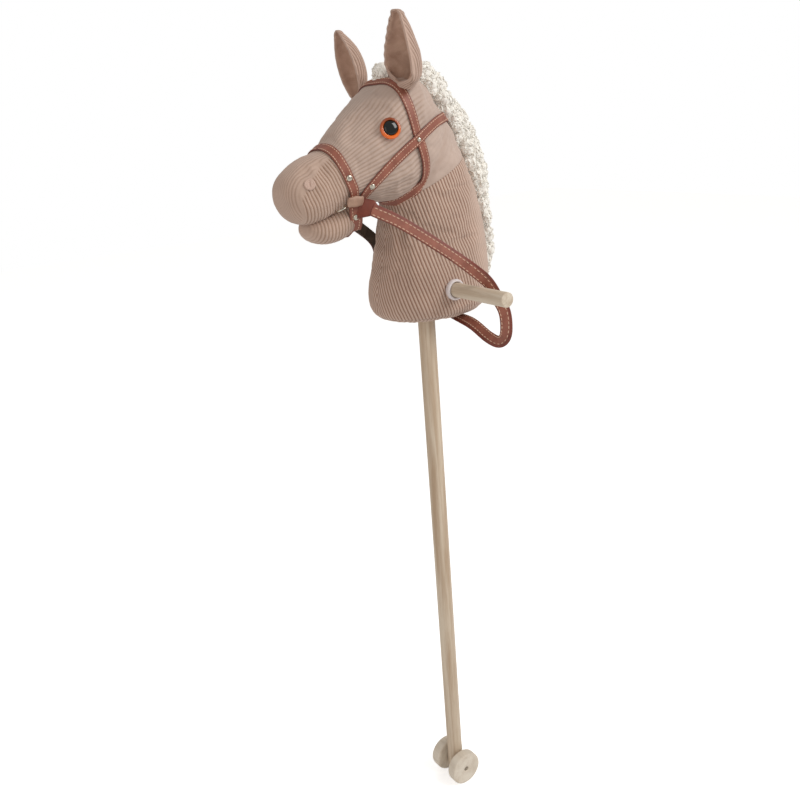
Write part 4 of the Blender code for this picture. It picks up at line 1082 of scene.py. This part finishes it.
def ear_layer(name, ear, inset, thickness, tall, wide, material):
    """One layer of an ear: a rolled leaf with a wall, open to the front above the lip at its root."""
    sign, base, tip, half_width, outline = ear
    base, tip = Vector(base), Vector(tip)
    axis = (tip - base).normalized()
    height = (tip - base).length
    facing = Vector((-math.cos(ear_turn_out), math.sin(ear_turn_out), 0))
    facing = (facing - axis * facing.dot(axis)).normalized()
    across = axis.cross(facing)
    outline = np.array(smooth_through(outline, 6))
    bpy.ops.mesh.primitive_grid_add(x_subdivisions=wide, y_subdivisions=tall, size=2.0)
    piece = bpy.context.object
    piece.name = name
    wales, cords, painted_fold_shadings = np.zeros((3, len(piece.data.vertices)))
    for vert in piece.data.vertices:
        u, t = vert.co.x, math.sin((vert.co.y + 1) * math.pi / 4) ** 0.9
        side = math.copysign(1, u)
        up = height * t
        share = np.interp(t, outline[:, 0], outline[:, 1])
        if t > 0.92:
            share = 0.36 * math.sqrt(max(0.0, 1 - ((t - 0.92) / 0.08) ** 2))
        radius = max(half_width * share - inset, 0.0002)
        opened = max(0.0, up - ear_lip_low) / (ear_lip_high - ear_lip_low)
        opening = 0.85 * half_width * math.sqrt(opened)
        flap = max(0.0, radius * math.sin(ear_wrap) - opening)
        travel = abs(u) * (radius * ear_wrap + flap)
        if travel <= radius * ear_wrap:
            turn = side * travel / radius
            lateral, depth = radius * math.sin(turn), -radius * math.cos(turn)
        else:
            over = travel - radius * ear_wrap
            lateral = side * (radius * math.sin(ear_wrap) - over)
            raised = 0.0015 * math.sin(min(1.0, over / 0.012) * math.pi / 2)
            depth = -radius * math.cos(ear_wrap) + raised
        phase = side * travel / wale_pitch
        near_rim = math.exp(-((1 - abs(u)) / 0.06) ** 2)
        cockle = (0.5 if u > 0 else 0.12) * math.cos(2 * math.pi * up / ear_pucker)
        out = ear_rim * near_rim * (1 + cockle)
        if inset < 0.001:
            out += ear_wale_height * math.cos(2 * math.pi * phase) * min(1.0, (1 - abs(u)) / 0.15)
        else:
            low = max(0.0, 1 - up / 0.040)
            fold = math.exp(-((u - 0.20 + 0.45 * low) / 0.10) ** 2)
            out -= ear_fold * low ** 0.7 * fold
            # Painted shade in the hollows either side of the lining's fold near the root, and a painted
            # highlight on the fold's ridge
            around_fold = math.exp(-((u - 0.20 + 0.45 * low) / 0.40) ** 2) * (1 - fold)
            painted_fold_shadings[vert.index] = min(1.0, low * 1.8) * (around_fold - 0.7 * fold)
        scale = 1 + out / max(math.hypot(lateral, depth), 0.004)
        wales[vert.index] = phase
        cords[vert.index] = 0.8 * min(1.0, (1 - u) / 0.05) * min(1.0, (1 + u) / 0.22)
        spot = base + axis * up + across * lateral * scale + facing * depth * scale
        vert.co = (spot.x, spot.y * sign, spot.z)
    for kept, values in (("wale", wales), ("strength", cords), ("painted_fold_shading", painted_fold_shadings)):
        store(piece, kept, values)
    face_outward(piece)
    centre = base + axis * height * 0.4
    centre.y *= sign
    middle = piece.data.polygons[len(piece.data.polygons) // 2 + wide // 2]
    outside = (middle.center - centre).dot(middle.normal) > 0
    apply_modifier(piece, "SOLIDIFY", thickness=thickness, offset=-1.0 if outside else 1.0,
                   use_rim=True)
    apply_modifier(piece, "BEVEL", width=thickness * 0.38, segments=3, limit_method="ANGLE",
                   angle_limit=math.radians(50))
    piece.data.shade_smooth()
    piece.data.materials.append(material)
    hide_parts(name)
    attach(piece, "horse")
    return piece


for side, ear_values in ears.items():
    ear = ear_layer("ear_" + side, ear_values, inset=0.0, thickness=0.0022, tall=70, wide=84,
                    material=ear_corduroy)
    lining = ear_layer("ear_lining_" + side, ear_values, inset=0.0025, thickness=0.0010, tall=60,
                       wide=72, material=plush)


# Mane. One strip of curly cream pile from between the ears down the crest, sewn into the seam,
# with knots of yarn a few millimetres across and loose loops along its edge.
# Its outer edge from the side: x, z and half the strip's width
mane_outline = [
    (-0.0440, 0.2290, 0.012), (-0.0410, 0.2380, 0.014), (-0.0280, 0.2400, 0.014),
    (-0.0080, 0.2410, 0.014), (0.0090, 0.2415, 0.016), (0.0235, 0.2365, 0.019),
    (0.0350, 0.2240, 0.021), (0.0430, 0.2080, 0.022), (0.0575, 0.1930, 0.024),
    (0.0710, 0.1740, 0.025), (0.0800, 0.1530, 0.026), (0.0885, 0.1280, 0.026),
    (0.0900, 0.0990, 0.025), (0.0925, 0.0670, 0.0235), (0.0965, 0.0370, 0.0215),
    (0.0975, 0.0150, 0.0185), (0.0930, -0.0020, 0.011),
]
boucle, boucle_tree, boucle_shader = new_material("cream_boucle", 0.9)
boucle_spot = add_node(boucle_tree, "TexCoord").outputs["Object"]
curl = noise(boucle_tree, boucle_spot, 420.0, 4.0, 1.4)
# Painted shade: the stored "depth" share lightens the tops of the knots and loops and darkens the pile
# between them.
curl_and_pile_shade = calc(boucle_tree, "MULTIPLY_ADD", curl, 0.5, stored(boucle_tree, "depth"))
boucle_colour = ramp(boucle_tree, curl_and_pile_shade, paint(216, 208, 196), paint(248, 245, 238), 0.25, 0.75)
boucle_tree.links.new(boucle_colour, boucle_shader.inputs["Base Color"])
bump(boucle_tree, boucle_shader, curl, 0.4, 0.0007)
boucle_shader.inputs["Sheen Weight"].default_value = 0.3


def mane_sections():
    """Cross sections of the strip, from its outline in to the crest."""
    rows = []
    centre = Vector((-0.020, 0, 0.060))
    drawn_in = 0.93
    for x, z, half_width in smooth_through(mane_outline, 2):
        spot = Vector((x, 0, z))
        inward = (centre - spot).normalized()
        crest = body_tree.ray_cast(spot, inward)[0] or spot
        root = crest + inward * 0.005
        top = root + (spot - root) * drawn_in
        rows.append((top.x, top.z, root.x, root.z, half_width * drawn_in, 2.4))
    return rows


mane = stuffed("mane", mane_sections(), -0.0015, steps=1, around=32)
apply_modifier(mane, "REMESH", mode="VOXEL", voxel_size=0.0022)
apply_modifier(mane, "SUBSURF", levels=1, render_levels=1)
rng = np.random.default_rng(7)


def knotted(piece, spacing, height, edge):
    """Raise round knots of yarn, one about each of a scatter of places on the surface."""
    points = per_point(piece)
    normals = per_point(piece, "normal")
    taken = np.zeros(len(points), bool)
    finder = KDTree(len(points))
    for i, point in enumerate(points):
        finder.insert(point, i)
    finder.balance()
    seeds = []
    for i in rng.permutation(len(points)):
        if not taken[i]:
            seeds.append(points[i])
            for found in finder.find_range(points[i], spacing):
                taken[found[1]] = True
    around = KDTree(len(seeds))
    for i, seed in enumerate(seeds):
        around.insert(seed, i)
    around.balance()
    away = np.array([[found[2] for found in around.find_n(point, 2)] for point in points])
    bulge = 1 - (1 - np.clip((away[:, 1] - away[:, 0]) / edge, 0, 1)) ** 2
    place_points(piece, points + normals * (height * (bulge - 0.4))[:, None])
    return bulge


loop_radius = (0.0012, 0.0021)
yarn_radius = (0.0005, 0.0008)


def yarn_loops(piece, count):
    """Loose loops of yarn that stand out of the pile, with both ends of each buried in it."""
    points = per_point(piece)
    normals = per_point(piece, "normal")
    shape = bmesh.new()
    pile_shade_layer = shape.verts.layers.float.new("depth")
    for i in rng.choice(len(points), count, replace=False):
        outward = Vector(normals[i]).normalized()
        side = outward.cross(Vector(rng.normal(size=3))).normalized()
        across = outward.cross(side)
        radius = rng.uniform(*loop_radius)
        thick = rng.uniform(*yarn_radius)
        centre = Vector(points[i]) - outward * radius * 0.5
        tone = rng.uniform(0.45, 0.8)
        rings = []
        for step in range(7):
            turn = math.radians(-25 + 230 * step / 6)
            ray = side * math.cos(turn) + outward * math.sin(turn)
            middle = centre + ray * radius + across * radius * 0.5 * math.sin(turn * 1.7)
            ring = []
            for corner in range(5):
                a = 2 * math.pi * corner / 5
                vert = shape.verts.new(middle + ray * thick * math.cos(a) + across * thick * math.sin(a))
                # Painted light on each loop: lighter towards its top, darker where it goes into the pile
                vert[pile_shade_layer] = tone * (0.6 + 0.4 * math.sin(max(0.0, turn)))
                ring.append(vert)
            rings.append(ring)
        tube(shape, rings)
    bmesh.ops.recalc_face_normals(shape, faces=shape.faces)
    return smooth_piece("yarn_loops", shape)


lobes = knotted(mane, spacing=0.0150, height=0.0032, edge=0.0120)
tufts = knotted(mane, spacing=0.0070, height=0.0016, edge=0.0052)
knots = knotted(mane, spacing=0.0028, height=0.0008, edge=0.0020)
# The knots' heights, stored as "depth", paint the pile lighter on the knots and darker between them.
knot_height = knots * 0.4 + tufts * 0.35 + lobes * 0.25
store(mane, "depth", 0.12 + 0.55 * knot_height)
mane.data.shade_smooth()
mane = join(mane, yarn_loops(mane, 2800))
mane.data.materials.clear()
mane.data.materials.append(boucle)
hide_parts("mane")
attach(mane, "horse")


# Bridle. Straps of the same brown leather with a line of stitching at each edge: a noseband, a
# browband, a throat lash and a cheek strap that runs from the ring round the back of the poll.
def pulled_tight(centre, spots, faces, first, second):
    """A band under tension bridges the hollows that it crosses, as the hull of its loop does."""
    arms = spots - np.array(centre)
    flat = np.stack([arms @ np.array(first), arms @ np.array(second)], -1)
    order = sorted(range(len(flat)), key=lambda i: (flat[i][0], flat[i][1]))
    chains = []
    for run in (order, order[::-1]):
        chain = []
        for i in run:
            while len(chain) > 1:
                a, b = flat[chain[-1]] - flat[chain[-2]], flat[i] - flat[chain[-1]]
                if a[0] * b[1] - a[1] * b[0] > 0:
                    break
                chain.pop()
            chain.append(i)
        chains += chain[:-1]
    corners = sorted(chains)
    for here, after in zip(corners, corners[1:] + [corners[0] + len(flat)]):
        for i in range(here + 1, after):
            share = (i - here) / (after - here)
            new = spots[here] * (1 - share) + spots[after % len(flat)] * share
            outward = new - np.array(centre)
            outward = outward / np.linalg.norm(outward)
            gap = np.linalg.norm(new - spots[i % len(flat)])
            weight = min(1.0, gap / 0.002)
            faces[i % len(flat)] = faces[i % len(flat)] * (1 - weight) + outward * weight
            spots[i % len(flat)] = new


def strap_rows(name, trees, lift):
    """Rows of a strap all the way round, lying on a surface: in its plane on the left, mirrored
    on the right."""
    place, normal = strap_plane(name)
    centre = Vector({"noseband": (-0.108, 0, 0.124), "browband": (-0.030, 0, 0.165),
                     "throat_lash": (-0.045, 0, 0.130), "cheek_strap": (-0.020, 0, 0.155)}[name])
    centre -= normal * (centre - place).dot(normal)
    up = Vector((0, 0, 1)) - normal * normal.z
    up.normalize()
    side = normal.cross(up)
    spots, faces = [], []
    for a in np.arange(220) * 2 * math.pi / 220:
        ray = up * math.cos(a) + side * math.sin(a)
        bend = Vector((0, 0, 0))
        if name == "noseband":
            bend.x = noseband_bend((centre + ray * 0.040).z)
        if name == "throat_lash":
            bend.x = throat_lash_bend((centre + ray * 0.040).z)
        found = [tree.ray_cast(centre + bend + ray * 0.25, -ray) for tree in trees]
        found = [f for f in found if f[0] is not None]
        if not found:
            continue
        hit = max(found, key=lambda f: (f[0] - centre).dot(ray))
        spots.append(np.array(hit[0]))
        faces.append(np.array(hit[1]))
    spots, faces = np.array(spots), np.array(faces)
    if name == "noseband":
        pulled_tight(centre, spots, faces, up, side)
    if name == "throat_lash":
        for i, spot in enumerate(spots):
            close, facing = body_tree.find_nearest(Vector(spot))[:2]
            if (Vector(spot) - close).dot(facing) < 0.0:
                spots[i] = close
                faces[i] = facing
    on_left = spots[:, 1] <= 0
    first = next(i for i in range(len(spots)) if on_left[i] and not on_left[i - 1])
    left = np.roll(np.arange(len(spots)), -first)[:on_left.sum()]
    mirror = np.array([1, -1, 1])
    spots = np.concatenate([spots[left], spots[left[::-1]] * mirror])
    faces = np.concatenate([faces[left], faces[left[::-1]] * mirror])
    for _ in range(4 if name != "throat_lash" else 14):
        spots = (np.roll(spots, 1, 0) + spots * 2 + np.roll(spots, -1, 0)) / 4
    for _ in range(12 if name != "noseband" else 30):
        faces = (np.roll(faces, 1, 0) + faces * 2 + np.roll(faces, -1, 0)) / 4
    rows = []
    for i, (spot, face) in enumerate(zip(spots, faces)):
        along = Vector(spots[(i + 1) % len(spots)] - spots[i - 1]).normalized()
        outward = Vector(face)
        # On the sides of the jaw the noseband's face turns forward
        if name == "noseband" and spot[2] < 0.112 and abs(spot[1]) > 0.010:
            turned_front = Vector((-0.45, math.copysign(0.89, spot[1]), 0.0))
            share = min(1.0, (0.112 - spot[2]) / 0.008) * min(1.0, (abs(spot[1]) - 0.010) / 0.010)
            outward = outward.lerp(turned_front, 0.85 * share)
        outward = (outward - along * outward.dot(along)).normalized()
        across = outward.cross(along).normalized()
        rows.append((Vector(spot) + outward * lift(Vector(spot)), across, outward))
    return rows


def longest_run(rows, keep):
    """The longest unbroken run of rows that pass a test, or the closed loop if all of them do."""
    flags = [keep(row[0]) for row in rows]
    if all(flags):
        return rows + [rows[0]]
    start = next(i for i in range(len(rows)) if not flags[i])
    order = list(range(start, len(rows))) + list(range(start))
    best, run = [], []
    for i in order + [order[0]]:
        if flags[i]:
            run.append(rows[i])
        else:
            best = run if len(run) > len(best) else best
            run = []
    return best


leather_thickness = 0.0015
half_leather = leather_thickness / 2
cloth_gap = 0.0003


def plain_lift(spot):
    """A strap straight on the cloth."""
    return half_leather + cloth_gap


def over_lift(spot):
    """A strap on the cloth that climbs over another where the two cross."""
    away = (Vector((spot.x, -abs(spot.y), spot.z)) - Vector(crossing)).length
    end = max(0.0, min(1.0, (-0.088 - spot.x) / 0.012))
    return half_leather + 0.0007 + 0.0018 * max(math.exp(-(away / 0.011) ** 2), end)


tongue_height = 0.0935
tongue_bulk = 0.0026


def noseband_lift(spot):
    """The noseband passes over the tongues of the rein at the corners of the mouth."""
    over_tongue = math.exp(-((spot.z - tongue_height) / 0.009) ** 4) if abs(spot.y) > 0.016 else 0.0
    return half_leather + cloth_gap + tongue_bulk * over_tongue


def noseband_width(spot):
    """The noseband is wider on the jaw than on the nose."""
    return strap_width * (1 + 0.28 * max(0.0, min(1.0, (0.108 - spot.z) / 0.008)))


def strap(name, trees, lift, keep):
    """One strap with its stitching."""
    rows = longest_run(strap_rows(name, trees, lift), keep)
    widths = [noseband_width(row[0]) if name == "noseband" else strap_width for row in rows]
    piece = strip(name, rows, widths, leather_thickness)
    piece.data.materials.append(brown_leather)
    lines = stitches(name + "_stitching", rows, offset=strap_width / 2 - 0.0019, height=half_leather,
                     length=0.0028, gap=0.0005, bare=0.001)
    piece = join(piece, lines)
    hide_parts(name)
    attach(piece, "horse")
    return rows


noseband_rows = strap("noseband", [body_tree, jaw_tree], noseband_lift, lambda spot: True)
strap("browband", [body_tree], plain_lift, lambda spot: spot.z > crossing[2] - strap_width / 2)
strap("throat_lash", [head_tree], plain_lift, lambda spot: spot.z < crossing[2] + 0.0005)
cheek_rows = strap("cheek_strap", [body_tree], over_lift, lambda spot: spot.x > -0.1005)


# Rivets. Domed steel caps that hold the straps together, one at each crossing and end.
steel = mottled("bright_steel", 0.22, paint(176, 168, 152), paint(226, 222, 210), 500.0, 4.0,
                (0.1, 0.0002), {"Metallic": 1.0})


rivet_rim = 0.0003
rivet_dome = 0.0016


def nearest_row(rows, x, z, sign):
    """The row of a strap nearest to a side view place, on one side."""
    return min(rows, key=lambda row: ((row[0].x - x) ** 2 + (row[0].z - z) ** 2
                                      + (0 if row[0].y * sign > 0 else 1)))


for kind, rows, place, width in (("nose_rivet", noseband_rows, (-0.1105, 0.129), 0.0064),
                                 ("chin_rivet", noseband_rows, (-0.1015, 0.090), 0.0064),
                                 ("cheek_rivet", cheek_rows, (-0.0875, 0.1235), 0.0064),
                                 ("cross_rivet", cheek_rows, (crossing[0], crossing[2]), 0.0048)):
    for side, sign in both_sides:
        spot, across, outward = nearest_row(rows, *place, sign)
        made = Matrix((across, outward.cross(across), outward)).transposed().to_4x4()
        made.translation = spot + outward * half_leather
        head = width / 2
        cap = [(head * 0.80, -rivet_rim), (head, 0.0), (head, rivet_rim)]
        cap += [(head * math.cos(a), rivet_rim + rivet_dome * math.sin(a))
                for a in np.linspace(0.12, math.pi / 2, 9)]
        rivet = lathe(kind + "_" + side, cap[:-1] + [(0.0, rivet_rim + rivet_dome)], 36, made,
                      steel, 45)
        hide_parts(kind + "_" + side)
        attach(rivet, "horse")


# Bit rings and tabs. A thin steel ring lies at each corner of the mouth, caught in a folded
# loop of pale leather that also holds the end of the cheek strap.
pale_leather = leather("pale_loop_leather", paint(176, 142, 122), paint(128, 94, 78), 0.55)
ring_radius = 0.0062
ring_wire = 0.0008
ring_spot = Vector((-0.1165, -0.0290, 0.1000))
ring_facing = Vector((-0.33, 0.12, 0.93))
tab_spot = Vector((-0.1045, -0.0355, 0.1070))
tab_facing = Vector((0.0, -0.950, -0.30))
tab_size = Vector((0.0095, 0.0055, 0.0028))
for side, sign in both_sides:
    place = seat(ring_spot, ring_facing, sign)
    bpy.ops.mesh.primitive_torus_add(major_radius=ring_radius, minor_radius=ring_wire,
                                     major_segments=64, minor_segments=14)
    ring = bpy.context.object
    ring.name = "bit_ring_" + side
    ring.data.transform(place)
    ring.data.shade_smooth()
    ring.data.materials.append(steel)
    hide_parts("bit_ring_" + side)
    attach(ring, "horse")

    place = seat(tab_spot, tab_facing, sign)
    bpy.ops.mesh.primitive_cube_add(size=1.0)
    tab = bpy.context.object
    tab.name = "bit_tab_" + side
    use_only(tab)
    bpy.ops.object.mode_set(mode="EDIT")
    bpy.ops.mesh.select_all(action="SELECT")
    bpy.ops.mesh.subdivide(number_cuts=10)
    bpy.ops.object.mode_set(mode="OBJECT")
    for vert in tab.data.vertices:
        u, v, w = vert.co * 2
        puff = (1 - u ** 4) * (1 - v ** 4)
        crease = math.exp(-((u - 0.05) / 0.16) ** 2)
        spot = Vector((u * tab_size.x * (1 - 0.10 * v * v),
                       v * tab_size.y * (1 - 0.10 * u * u + 0.06 * math.cos(5 * u)),
                       w * (0.0008 + 0.0016 * puff) + tab_size.z - 0.0010 * crease * (w > 0)))
        vert.co = place @ spot
    apply_modifier(tab, "SUBSURF", levels=1, render_levels=1)
    tab.data.shade_smooth()
    tab.data.materials.append(pale_leather)
    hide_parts("bit_tab_" + side)
    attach(tab, "horse")


# Floor, light and backdrop. A plain pale floor under the wheels, a large soft lamp at the right,
# a weaker one at the left and an even sky.
floor_height = -0.7013
bpy.ops.mesh.primitive_plane_add(size=12.0, location=(0, 0, floor_height))
floor = bpy.context.object
floor.name = "floor"
floor_material, floor_tree, floor_shader = new_material("pale_floor", 0.9)
floor_shader.inputs["Base Color"].default_value = paint(244, 244, 244)
white = add_node(floor_tree, "Emission", {"Color": (1, 1, 1, 1), "Strength": 0.55})
seen = add_node(floor_tree, "LightPath")
both = add_node(floor_tree, "AddShader", {0: floor_shader.outputs[0], 1: white.outputs[0]})
choose = add_node(floor_tree, "MixShader", {0: seen.outputs["Is Camera Ray"], 1: floor_shader.outputs[0],
                                            2: both.outputs[0]})
floor_tree.links.new(choose.outputs[0], floor_tree.nodes["Material Output"].inputs["Surface"])
floor.data.materials.append(floor_material)


def lamp(name, place, target, size, energy, colour):
    """A square soft lamp that points at a place."""
    data = bpy.data.lights.new(name, "AREA")
    data.size = size
    data.energy = energy
    data.color = colour
    made = bpy.data.objects.new(name, data)
    made.location = place
    made.rotation_euler = (Vector(target) - Vector(place)).to_track_quat("-Z", "Y").to_euler()
    bpy.context.scene.collection.objects.link(made)


lamp("key_lamp", (1.1, -1.6, 1.5), (0, 0, 0.05), size=1.3, energy=35.0, colour=(1.0, 0.985, 0.965))
lamp("fill_lamp", (-1.9, -0.7, 0.5), (-0.02, 0, 0.0), size=1.6, energy=7.0, colour=(1.0, 0.87, 0.76))
sky = bpy.data.worlds.new("sky")
bpy.context.scene.world = sky
sky.use_nodes = True
sky_tree = sky.node_tree
sky_light = sky_tree.nodes["Background"]
sky_light.inputs["Color"].default_value = (1, 0.975, 0.95, 1)
sky_light.inputs["Strength"].default_value = 0.5
sky_white = add_node(sky_tree, "Background", {"Color": (1, 1, 1, 1), "Strength": 1.0})
sky_path = add_node(sky_tree, "LightPath")
sky_mix = add_node(sky_tree, "MixShader", {0: sky_path.outputs["Is Camera Ray"], 1: sky_light.outputs[0],
                                           2: sky_white.outputs[0]})
sky_tree.links.new(sky_mix.outputs[0], sky_tree.nodes["World Output"].inputs["Surface"])
bpy.context.scene.view_settings.view_transform = "Standard"
